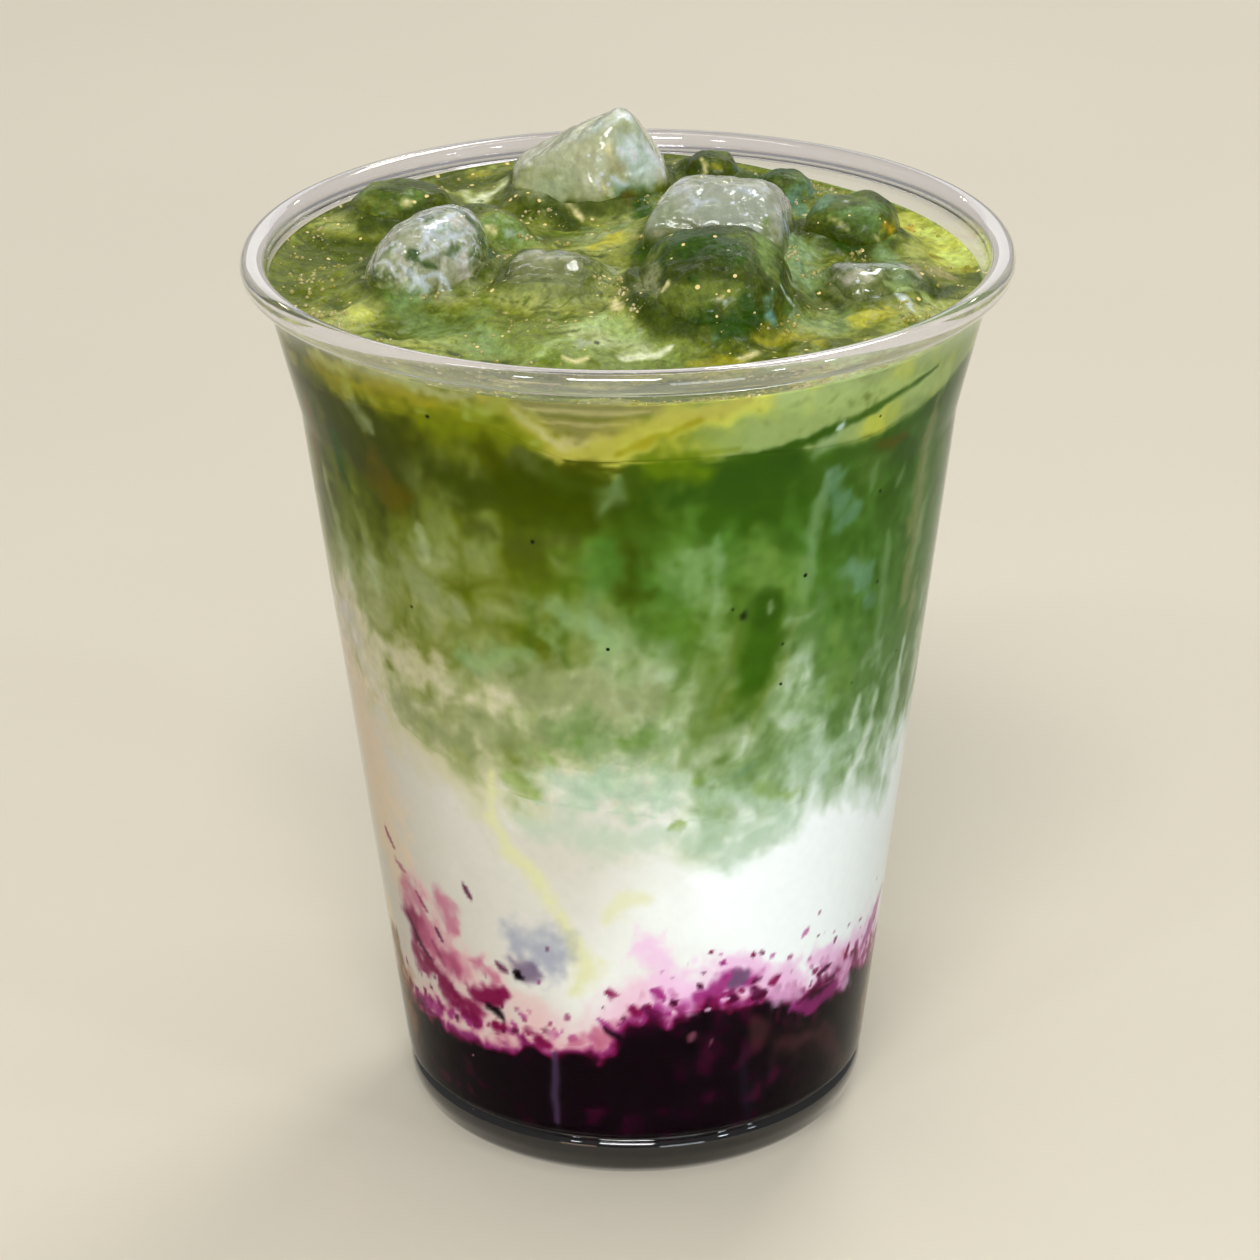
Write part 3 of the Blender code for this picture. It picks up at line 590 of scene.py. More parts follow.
    Tint.DEEP_GREEN.patch(1.6, 0.85, (15, -21, 118.5), (15.5, -21.5, 116)),
    Tint.DEEP_GREEN.wisp(1.2, 0.8, (8, -18.5, 120.5), (9, -18.5, 121)),
    Tint.OLIVE_DARK.line(0.8, 0.9, (1, 2.5, 115.5), (1, -3, 115.5), (1, -10, 116)),
    Tint.CREAM_GLINT.line(0.6, 0.85, (5, -16.5, 119.5), (5, -17, 119), (4.5, -17.5, 118)),
    Tint.CREAM_GLINT.line(0.5, 0.8, (11, -21.5, 118.5), (11.5, -21.5, 119)),
    Tint.GLACIER.line(0.5, 0.7, (11.5, -22, 118), (12, -22, 118.5)),
    # painted teal glints at the bottom and the right of the front lump
    Tint.TEAL_GLINT.wisp(0.6, 0.85, (9, -23.5, 114), (10, -24, 114), (11.5, -24, 114)),
    Tint.TEAL_GLINT.line(0.5, 0.8, (12.5, -23, 114), (14, -23.5, 114)),
    Tint.TEAL_GLINT.wisp(0.9, 0.85, (17.5, -19, 118.5), (17, -20, 117.5), (17.5, -20.5, 116),
        (18.5, -20.5, 114)),
    Tint.GLACIER.line(0.4, 0.7, (1, -21, 115), (1.5, -22, 114.5)),
    # the right flank of the front lump
    Tint.SAGE_GREEN.patch(4, 0.85, (21, 7, 114), (21.5, -6.5, 114.5)),
    Tint.DEEP_GREEN.line(0.5, 0.8, (18.5, -12, 120), (19, -16, 118), (20.5, -14, 115)),
    Tint.GLACIER.line(0.45, 0.8, (20.5, 5.5, 115.5), (21.5, 2.5, 115), (22.5, -3, 114.5)),
    Tint.GLACIER.line(0.4, 0.8, (19.5, -11, 119), (20, -11, 117), (21, -6, 113.5)),
    Tint.GLACIER.line(0.5, 0.9, (18.5, -16.5, 118.5), (19.5, -16.5, 117), (20.5, -15, 115)),
    Tint.GLACIER.line(0.35, 0.7, (21.5, 10, 114.5), (22.5, 5, 115), (23.5, 0, 114.5)),
    Tint.DEEP_GREEN.line(0.4, 0.7, (21, 9.5, 114), (22, 1, 115), (22.5, -4.5, 114.5)),
    Tint.DEEP_GREEN.wisp(0.9, 0.8, (22, -9, 114.5), (23, -9, 114.5)),
    Tint.DEEP_GREEN.wisp(0.9, 0.8, (19, -18.5, 115.5), (20, -15.5, 115)),
    Tint.TEA_BLACK.line(0.4, 0.8, (23.5, -16.5, 114), (24, -16.5, 114)),
    # the coated lump at the right
    Tint.LEAF_SMOOTH.wisp(6, 0.9, (28.5, 10, 119), (31, 8.5, 117.5)),
    # painted shade low on the dome's front and at its foot
    Tint.DEEP_OLIVE.patch(2.8, 0.9, (24, 10, 117), (27, 8, 116), (30.5, 7.5, 115.5)),
    Tint.DEEP_GREEN.wisp(1.4, 0.9, (25.5, 7.5, 114.5), (28, 7.5, 114), (31, 7.5, 114.5)),
    Tint.TEA_TEAL.patch(1.6, 0.7, (23, 27, 115), (25.5, 12, 119)),
    Tint.STAR_WHITE.line(0.5, 0.7, (28, 13.5, 120), (28, 12.5, 120)),
    # painted bluish-white highlight low on the dome's left
    Tint.GLACIER.wisp(1, 0.85, (24, 9, 115), (24.5, 7.5, 114.5)),
    Tint.CREAM_GLINT.wisp(0.4, 0.8, (23, 27, 113.5), (26, 9.5, 118.5), (28, 8, 117.5), (28.5, 8, 116.5)),
    Tint.CREAM_GLINT.wisp(0.35, 0.7, (29.5, 8, 117), (32, 8.5, 116.5), (32.5, 8.5, 115.5)),
    # the small clear lump at the right
    Tint.OLIVE_GREY.patch(4, 0.6, (26.5, -9, 116), (29, -11.5, 116)),
    Tint.ICE_RIM.wisp(0.5, 0.8, (27.5, -6, 117.5), (28.5, -8.5, 117.5), (30, -10, 117.5), (29, -11.5, 116),
        (28.5, -12, 114)),
    Tint.ICE_RIM.wisp(0.5, 0.75, (25, -6, 115.5), (26, -8, 117), (27.5, -10, 117), (28.5, -11, 116.5)),
    Tint.ICE_WARM.wisp(1.2, 0.6, (28, -9, 117.5), (28.5, -11, 116.5)),
    Tint.DEEP_OLIVE.wisp(0.8, 0.85, (25, -8.5, 114.5), (27, -14, 114), (29.5, -12.5, 114)),
    Tint.STAR_WHITE.line(0.5, 0.9, (30.5, -11.5, 115), (31, -11.5, 115)),
    # foam at the right
    Tint.SAGE_GREEN.patch(2, 0.8, (32.5, 8, 113.5), (34, -7, 117.5), (34.5, -8, 116)),
    Tint.FROTH_LIME.patch(6, 0.95, (35.5, 21.5, 113.5), (40, 15.5, 113.5), (42, 7.5, 113.5)),
    Tint.AMBER_GOLD.wisp(1.1, 0.8, (33.5, 10, 117.5), (33.5, 9.5, 116)),
    Tint.AMBER_GOLD.wisp(1.1, 0.9, (37.5, 21, 113.5), (37, 18, 113.5)),
    Tint.LIME_BRIGHT.patch(1.6, 0.8, (39.5, 19.5, 113.5), (40, 15.5, 113.5)),
    Tint.LIME_BRIGHT.patch(2, 0.8, (41.5, 11, 113.5), (42.5, 7.5, 113.5)),
    Tint.OLIVE_SHADE.wisp(0.9, 0.9, (37.5, 8, 113.5), (39, 8, 113.5), (40.5, 9, 113.5)),
    Tint.OLIVE_SHADE.wisp(1.2, 0.7, (42.5, 3.5, 113.5), (43.5, 4, 113)),
    Tint.ICE_TAN.patch(1.8, 0.75, (36, -5.5, 116.5), (39, 1.5, 113.5), (41, 0, 113.5)),
    Tint.DEEP_OLIVE.patch(1.8, 0.9, (37, -7.5, 113.5), (39.5, -7.5, 113.5), (41.5, -4.5, 113.5)),
    Tint.FROTH_PALE.wisp(0.9, 0.85, (32, -9.5, 116.5), (34, -9.5, 115.5), (36, -9, 114),
        (38, -11.5, 113.5)),
    Tint.STAR_WHITE.wisp(0.8, 0.85, (33.5, -10.5, 114.5), (34.5, -11.5, 113.5), (35, -14, 113.5)),
    Tint.DEEP_GREEN.line(0.4, 0.7, (34.5, -6.5, 117), (36.5, -6.5, 115.5), (38.5, -4, 113.5)),
    # foam at the front
    Tint.SAGE_GREEN.patch(3.2, 0.5, (20.5, -18, 114), (24.5, -17, 114), (27.5, -16, 114)),
    Tint.FROTH_YELLOW.patch(1.4, 0.8, (28, -17, 114), (30.5, -16, 114), (32, -14.5, 114)),
    Tint.OLIVE_GOLD.patch(1.8, 0.8, (16, -23.5, 114), (19.5, -23, 114), (23, -23.5, 113.5)),
    Tint.CREAM_GLINT.wisp(0.7, 0.85, (12.5, -28.5, 113.5), (14.5, -27.5, 113.5), (17, -26, 113.5)),
    Tint.OLIVE_GOLD.wisp(1.2, 0.85, (7.5, -29.5, 113.5), (11, -28.5, 113.5), (14.5, -29.5, 113.5)),
    Tint.FROTH_PALE.patch(2.6, 0.85, (-6, -21.5, 115), (-3, -19, 115), (0, -23, 114.5)),
    Tint.ICE_GREY.wisp(1.5, 0.7, (-6.5, -25, 114.5), (-4.5, -25.5, 114.5)),
    Tint.LEAF_OLIVE.patch(2.8, 0.75, (-10, -21, 115), (-13, -24, 114.5)),
    Tint.FROTH_WHITE.line(0.85, 1, (-2, -26.5, 114.5), (0, -27.5, 114), (2.5, -27, 114), (5, -25.5, 114)),
    Tint.FROTH_PALE.line(0.5, 0.85, (-10, -20.5, 115), (-7, -21, 115), (-4, -21.5, 115)),
    Tint.FROTH_PALE.line(0.6, 0.8, (-11, -29.5, 114), (-10, -26.5, 114.5), (-9, -25, 114.5),
        (-6.5, -24, 114.5)),
    Tint.OLIVE_DARK.line(0.4, 0.85, (-10, -23, 114.5), (-8.5, -23, 114.5), (-6, -22.5, 115)),
    Tint.OLIVE_DARK.line(0.4, 0.8, (-2.5, -23.5, 114.5), (-1.5, -24.5, 114.5), (1.5, -25, 114.5)),
    Tint.TEA_BLACK.line(0.4, 0.8, (-4, -24.5, 114.5), (-3.5, -25, 114.5)),
    Tint.CREAM_GLINT.wisp(1.2, 0.9, (-2, -13, 115.5), (-1.5, -16, 115), (-0.5, -18, 115)),
    Tint.OLIVE_GREEN.wisp(1.6, 0.8, (-10.5, -29.5, 114), (-8.5, -30.5, 114)),
    Tint.CREAM_GLINT.patch(0.8, 0.8, (-8, -29.5, 114), (-6.5, -30, 114), (-5, -29.5, 114)),
    Tint.OLIVE_GREEN.wisp(1.2, 0.8, (-5, -6.5, 117.5), (-4.5, -7.5, 115.5)),
    Tint.ICE_GREY.wisp(1.5, 0.6, (-3, 1, 115.5), (-1.5, -4.5, 115.5)),
    # the lump in the middle
    Tint.ICE_OLIVE.patch(5, 0.85, (-11.5, -7.5, 118.5), (-8.5, -10.5, 117)),
    Tint.GLACIER.wisp(0.5, 0.8, (-11.5, -12.5, 115), (-10, -11.5, 115.5), (-9, -14, 115), (-7.5, -12, 115)),
    Tint.GLACIER.wisp(0.4, 0.6, (-11.5, -14.5, 115), (-10.5, -15.5, 115), (-8.5, -16, 115)),
    Tint.CREAM_GLINT.line(0.4, 0.8, (-7.5, -17, 115), (-7.5, -17.5, 115)),
    Tint.CREAM_GLINT.wisp(0.4, 0.7, (-10.5, -7, 118.5), (-9.5, -4.5, 119)),
)


# The window through the froth at the front, with its pale border: (azimuth, height).
WINDOW_MARKS = (
    Tint.WINDOW.patch(3.0, 1.0, (-16, 114), (-10, 112.5), (-3, 112), (3, 114.5)),
    Tint.WINDOW.patch(2.6, 1.0, (-12, 110.5), (-7.5, 109.5), (-3, 110.5)),
    Tint.WINDOW_PALE.patch(1.3, 0.85, (-11, 108.5), (-8, 107.8), (-3, 108.6)),
    Tint.WINDOW_PALE.line(0.4, 0.6, (-16, 113), (-6, 112.6), (3, 113.2)),
    Tint.WINDOW_PALE.line(0.35, 0.5, (-14, 111.2), (-6, 110.9), (0, 111.3)),
    Tint.OLIVE_MID.line(0.35, 0.5, (-15, 112.2), (-6, 111.7), (2, 112.4)),
    Tint.FROTH_RIM.stream(2.0, 0.95, (-23, 114), (-19.5, 113), (-16.5, 110.5), (-13, 108), (-9, 106.4)),
    Tint.WINDOW_PALE.wisp(0.8, 0.9, (-19, 113.6), (-16, 111.2), (-12.5, 108.6), (-9, 107)),
    Tint.FROTH_RIM.stream(2.8, 0.95, (-10, 106.2), (-4, 107.6), (2, 110), (8, 112), (18, 113.8)),
    Tint.FROTH_SOFT.stream(0.9, 0.6, (-2, 107), (4, 109.3), (11, 111.4)),
    Tint.FROTH_SOFT.stream(3.0, 0.8, (-62, 110.5), (-48, 111.6), (-38, 112), (-28, 111.8), (-20, 113)),
    Tint.FROTH_RIM.stream(1.4, 0.7, (-60, 112.5), (-48, 113.4), (-36, 113.6), (-26, 113.4)),
    Tint.OLIVE.stream(3.0, 0.7, (-34, 109.5), (-26, 110.5), (-19, 110), (-15, 108)),
    Tint.STRAW_SAGE.wisp(1.2, 0.7, (-50, 114), (-40, 114.2), (-30, 113.8), (-24, 114.4)),
    Tint.OLIVE_DEEP.patch(0.9, 0.9, (-10, 105.2), (-6, 105.4), (-2, 104.6)),
    Tint.SHADE_GREEN.line(0.7, 0.85, (14, 105), (24, 105.8), (34, 107), (46, 109), (58, 110.5)),
    Tint.GLACIER.dot(0.45, 0.9, (35.5, 107), (36.2, 107.4)),
)


@dataclass(frozen=True)
class Splashes:
    """Seeded drops of berry thrown up into the milk, thicker and bigger near the compote."""

    seed: int = 7
    count: int = 620
    mean_rise: float = 2.6
    highest: float = 13.0
    gap_azimuth: float = -9.0
    gap_width: float = 9.0
    gap_share: float = 0.85
    half_widths: tuple[float, float] = (0.3, 0.95)
    shrinking_rise: float = 9.0
    lean: float = 1.2
    runs: tuple[float, float] = (0.1, 0.7)
    strengths: tuple[float, float] = (0.55, 0.95)
    tints: tuple[Tint, ...] = (Tint.MAGENTA, Tint.WINE, Tint.WINE, Tint.BERRY_DARK)

    def marks(self) -> tuple[Mark, ...]:
        """One small mark for each drop.

        Returns:
            The marks, in the order in which they are drawn.
        """
        rng = np.random.default_rng(self.seed)
        made = []
        for _ in range(self.count):
            azimuth = rng.uniform(-180.0, 180.0)
            rise = rng.exponential(self.mean_rise)
            gap = math.exp(-((azimuth - self.gap_azimuth) / self.gap_width) ** 2)
            if rise > self.highest or rng.uniform() < self.gap_share * gap:
                continue
            base = float(around(BERRY_TOP, np.array([azimuth]))[0])
            half_width = rng.uniform(*self.half_widths) * math.exp(-rise / self.shrinking_rise)
            lean = rng.uniform(-self.lean, self.lean)
            run = rng.uniform(*self.runs)
            first = (azimuth, base + rise)
            last = (azimuth + lean * half_width, base + rise + run * half_width)
            tint = self.tints[rng.integers(len(self.tints))]
            made.append(tint.dot(half_width, rng.uniform(*self.strengths), first, last))
        return tuple(made)


def outer_radius(height: np.ndarray | float) -> np.ndarray | float:
    """Radius of the tumbler's outer wall at a height above the foot."""
    upper = (COLLAR_RADIUS - STACK_RADIUS) / (COLLAR_Z - STACK_Z)
    lower = (STACK_RADIUS - WALL_FOOT_RADIUS) / (STACK_Z - WALL_FOOT_Z)
    return STACK_RADIUS + (height - STACK_Z) * np.where(np.asarray(height) > STACK_Z, upper, lower)


def drink_radius(height: np.ndarray | float) -> np.ndarray | float:
    """Radius of the drink at a height, just inside the wall's inner face."""
    return outer_radius(height) - WALL + SINK


def wall_place(azimuth: float, height: float) -> tuple[float, float, float]:
    """The point of the drink's side at an azimuth and a height.

    Args:
        azimuth: degrees from the front.
        height: millimetres above the foot.

    Returns:
        The point in millimetres.
    """
    radius = float(drink_radius(height))
    angle = math.radians(azimuth)
    return (radius * math.sin(angle), -radius * math.cos(angle), height)


def around(anchors: tuple[tuple[float, float], ...], azimuth: np.ndarray) -> np.ndarray:
    """Height at each azimuth, eased between the anchors round the wall.

    Args:
        anchors: pairs of azimuth and height, starting at -180.
        azimuth: degrees from -180 to 180.

    Returns:
        One height for each azimuth.
    """
    closed = anchors + ((anchors[0][0] + 360.0, anchors[0][1]),)
    height = np.full(np.shape(azimuth), float(anchors[0][1]))
    for (left, low), (right, high) in zip(closed, closed[1:]):
        inside = (azimuth >= left) & (azimuth <= right)
        ease = 0.5 - 0.5 * np.cos(np.pi * (azimuth - left) / (right - left))
        height = np.where(inside, low + (high - low) * ease, height)
    return height


def foam_top(azimuth: np.ndarray, share: np.ndarray | float) -> np.ndarray:
    """The foam's upper face: level at the wall, domed and wavy further in.

    Args:
        azimuth: degrees from the front.
        share: distance from the axis as a share of the drink's radius.

    Returns:
        Its heights in millimetres.
    """
    level = FOAM_MIDDLE_Z + (around(FOAM_TOP, azimuth) - FOAM_MIDDLE_Z) * share**2
    phase = np.radians(FOAM_WAVES_ROUND * azimuth) + FOAM_WAVE_TWIST * share
    wave = FOAM_WAVE * np.sin(phase) * share * (1.0 - share)
    return level + FOAM_RISE * (1.0 - share**2) ** 2 + wave


def smooth_step(value: np.ndarray, low: float, high: float) -> np.ndarray:
    """Rises smoothly from 0 at low to 1 at high."""
    share = np.clip((value - low) / (high - low), 0.0, 1.0)
    return share * share * (3.0 - 2.0 * share)


def blend(first: np.ndarray, second: np.ndarray, share: np.ndarray) -> np.ndarray:
    """Colours between first and second, one for each share."""
    weight = np.asarray(share)[:, None]
    return first * (1.0 - weight) + second * weight


def to_linear(screen: np.ndarray) -> np.ndarray:
    """Light for each colour as shown on a screen."""
    screen = np.clip(screen, 0.0, 1.0)
    return np.where(screen <= 0.04045, screen / 12.92, ((screen + 0.055) / 1.055) ** 2.4)


class Grain:
    """Seeded smooth noise in space, from -1 to 1."""

    LATTICE = 32
    OCTAVE_SHIFT = 17.3
    TURN = np.array(((0.8, 0.6, 0.0), (-0.6, 0.8, 0.0), (0.0, 0.0, 1.0)))
    TILT = np.array(((1.0, 0.0, 0.0), (0.0, 0.8, 0.6), (0.0, -0.6, 0.8)))
    PUSH_SHIFTS = ((0.0, 0.0, 0.0), (31.7, 5.1, 11.9), (7.3, 47.3, 23.1))
    PUSH_OCTAVES = 2

    def __init__(self, seed: int) -> None:
        """Draw the values at the corners of the lattice."""
        rng = np.random.default_rng(seed)
        self.values = rng.uniform(-1.0, 1.0, (self.LATTICE,) * 3)

    def sample(self, places: np.ndarray, wavelength: float) -> np.ndarray:
        """Noise at each place.

        Args:
            places: points in millimetres, one a row.
            wavelength: size of the lattice's cells in millimetres.

        Returns:
            One value for each place.
        """
        cell = places / wavelength
        base = np.floor(cell).astype(int)
        ease = cell - base
        ease = ease * ease * (3.0 - 2.0 * ease)
        total = np.zeros(len(places))
        for corner in itertools.product((0, 1), repeat=3):
            index = (base + corner) % self.LATTICE
            weight = np.prod(np.where(corner, ease, 1.0 - ease), axis=1)
            total += self.values[index[:, 0], index[:, 1], index[:, 2]] * weight
        return total

    def layered(self, places: np.ndarray, wavelength: float, octaves: int = 3) -> np.ndarray:
        """Noise with finer and weaker noise added, turned a little at each step.

        Args:
            places: points in millimetres.
            wavelength: size of the coarsest noise in millimetres.
            octaves: number of layers of noise.

        Returns:
            One value for each place.
        """
        total = np.zeros(len(places))
        share = 1.0
        for _ in range(octaves):
            total += share * self.sample(places, wavelength)
            places = places @ self.TURN @ self.TILT + self.OCTAVE_SHIFT
            wavelength *= 0.5
            share *= 0.5
        return total / (2.0 - 2.0 * share)

    def push(self, places: np.ndarray, wavelength: float) -> np.ndarray:
        """A vector of noise for each place."""
        shifted = [places + np.array(shift) for shift in self.PUSH_SHIFTS]
        return np.stack([self.layered(part, wavelength, self.PUSH_OCTAVES) for part in shifted], axis=1)


class Painter:
    """Lays marks of colour over the vertices of a surface."""

    ALONG_NORMAL = 0.85
    PUSHES = ((0.5, 6.5), (0.32, 2.6), (0.18, 1.1))
    FRINGE_SIZE = 1.9
    SPARE_REACH = 0.5

    def __init__(self, marks: tuple[Mark, ...], seed: int) -> None:
        """Keep the marks and the noise that makes their edges ragged."""
        self.marks = marks
        self.grain = Grain(seed)

    def paint(self, places: np.ndarray, normals: np.ndarray, coat: np.ndarray) -> np.ndarray:
        """Lay every mark over the base coat, in order.

        Args:
            places: points of the surface in millimetres.
            normals: unit normals there.
            coat: base colours, as shown on a screen.

        Returns:
            The colours with the marks over them.
        """
        coat = coat.copy()
        push = sum(share * self.grain.push(places, size) for share, size in self.PUSHES)
        fringe = self.grain.layered(places, self.FRINGE_SIZE)
        for mark in self.marks:
            path = mark.places()
            reach = 2.0 * mark.half_width + mark.brush.ragged + self.SPARE_REACH
            low = path.min(axis=0) - reach
            high = path.max(axis=0) + reach
            near = np.nonzero(np.all((places >= low) & (places <= high), axis=1))[0]
            if not len(near):
                continue
            spots = places[near] + push[near] * mark.brush.ragged * min(1.0, 0.3 + 0.5 * mark.half_width)
            share = self.cover(spots, normals[near], fringe[near], path, mark)
            coat[near] = blend(coat[near], mark.tint.screen, share * mark.strength)
        return coat

    def cover(self, spots: np.ndarray, normals: np.ndarray, fringe: np.ndarray, path: np.ndarray,
              mark: Mark) -> np.ndarray:
        """How much of a mark lies on each spot.

        Args:
            spots: pushed points of the surface in millimetres.
            normals: unit normals there.
            fringe: noise there, which frays the mark's edge.
            path: points of the mark's path.
            mark: the mark.

        Returns:
            Shares from 0 to 1.
        """
        best = np.full(len(spots), np.inf)
        steps = max(len(path) - 1, 1)
        for index in range(steps):
            start = path[index]
            run = path[min(index + 1, len(path) - 1)] - start
            length = max(float(run @ run), 1e-9)
            along = np.clip(((spots - start) @ run) / length, 0.0, 1.0)
            away = spots - start - along[:, None] * run
            lift = np.sum(away * normals, axis=1)
            distance = np.sqrt(np.maximum(np.sum(away**2, axis=1) - self.ALONG_NORMAL * lift**2, 0.0))
            place = (index + along) / steps
            width = mark.half_width * (1.0 - mark.brush.taper * (2.0 * place - 1.0) ** 2)
            best = np.minimum(best, distance / width)
        best = best + 2.0 * mark.brush.fray * fringe
        return 1.0 - smooth_step(best, 1.0 - mark.brush.fade, 1.0 + 0.4 * mark.brush.fade)


def mesh_object(name: str, places: np.ndarray, faces: list[tuple[int, ...]]) -> bpy.types.Object:
    """A smooth mesh object from points in millimetres.

    Args:
        name: name of the object.
        places: one point a row.
        faces: corner numbers of each face, facing outwards.

    Returns:
        The object, linked to the scene, with its place in its mesh.
    """
    mesh = bpy.data.meshes.new(name)
    mesh.from_pydata((places * MM).tolist(), [], faces)
    mesh.validate()
    mesh.shade_smooth()
    made = bpy.data.objects.new(name, mesh)
    bpy.context.scene.collection.objects.link(made)
    return made


def revolved(rows: np.ndarray, bottom: np.ndarray,
             top: np.ndarray) -> tuple[np.ndarray, list[tuple[int, ...]]]:
    """A closed skin through rings of points.

    Args:
        rows: rings of points from the bottom's middle to the top's, counter-clockwise from above.
        bottom: middle point that closes the first ring.
        top: middle point that closes the last ring.

    Returns:
        The points and the faces.
    """
    count, around_count, _ = rows.shape
    places = np.concatenate((rows.reshape(-1, 3), bottom[None], top[None]))
    low, high = len(places) - 2, len(places) - 1
    nexts = [(step + 1) % around_count for step in range(around_count)]
    faces = []
    for row in range(count - 1):
        base = row * around_count
        over = base + around_count
        faces += [(base + step, base + following, over + following, over + step)
                  for step, following in enumerate(nexts)]
    last = (count - 1) * around_count
    faces += [(low, nexts[step], step) for step in range(around_count)]
    faces += [(high, last + step, last + nexts[step]) for step in range(around_count)]
    return places, faces


def vertex_data(item: bpy.types.Object) -> tuple[np.ndarray, np.ndarray]:
    """Points and normals of an object's vertices.

    Args:
        item: a mesh object with its place in its mesh.

    Returns:
        Points in millimetres and unit normals, one a row.
    """
    mesh = item.data
    places = np.empty(len(mesh.vertices) * 3)
    mesh.vertices.foreach_get("co", places)
    normals = np.empty(len(mesh.vertices) * 3)
    mesh.vertex_normals.foreach_get("vector", normals)
    return places.reshape(-1, 3) / MM, normals.reshape(-1, 3)


def store_tint(item: bpy.types.Object, screen: np.ndarray) -> None:
    """Keep one colour for each vertex in the attribute that the finishes read.

    Args:
        item: a mesh object.
        screen: colours as shown on a screen.
    """
    layer = item.data.color_attributes.new("tint", "FLOAT_COLOR", "POINT")
    light = np.ones((len(screen), 4))
    light[:, :3] = to_linear(screen)
    layer.data.foreach_set("color", light.ravel())


def store_share(item: bpy.types.Object, name: str, share: np.ndarray) -> None:
    """Keep one number for each vertex, such as how thickly grains lie there."""
    layer = item.data.attributes.new(name, "FLOAT", "POINT")
    layer.data.foreach_set("value", share)


def wear(item: bpy.types.Object, finish: bpy.types.Material) -> None:
    """Give the object its one finish."""
    item.data.materials.clear()
    item.data.materials.append(finish)


def place_piece(item: bpy.types.Object, slot: str, *nodes: str) -> None:
    """Tie a finished piece to the model.

    Args:
        item: the piece.
        slot: its material slot; not used.
        nodes: the solids that it stands for.
    """
    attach(item, "root")
    if nodes:
        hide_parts(*nodes)
    LOG.info("%s: %d faces, stands for %s", item.name, len(item.data.polygons), nodes or "nothing")


def set_inputs(node: bpy.types.Node, values: dict[str, float | tuple[float, ...]]) -> None:
    """Set a node's own sockets, by their names."""
    for label, value in values.items():
        node.inputs[label].default_value = value


def new_material(name: str) -> tuple[bpy.types.Material, bpy.types.NodeTree, bpy.types.Node]:
    """A material with nodes, its tree and its Principled shader."""
    made = bpy.data.materials.new(name)
    made.use_nodes = True
    return made, made.node_tree, made.node_tree.nodes["Principled BSDF"]


def open_group(name: str, inputs: dict[str, str], outputs: dict[str, str]) -> bpy.types.NodeTree:
    """A new shader node group with named sockets.

    Args:
        name: name of the group.
        inputs: type of socket for each input's name.
        outputs: type of socket for each output's name.

    Returns:
        The group, still without nodes.
    """
    tree = bpy.data.node_groups.new(name, "ShaderNodeTree")
    for label, kind in inputs.items():
        tree.interface.new_socket(label, in_out="INPUT", socket_type=kind)
    for label, kind in outputs.items():
        tree.interface.new_socket(label, in_out="OUTPUT", socket_type=kind)
    return tree


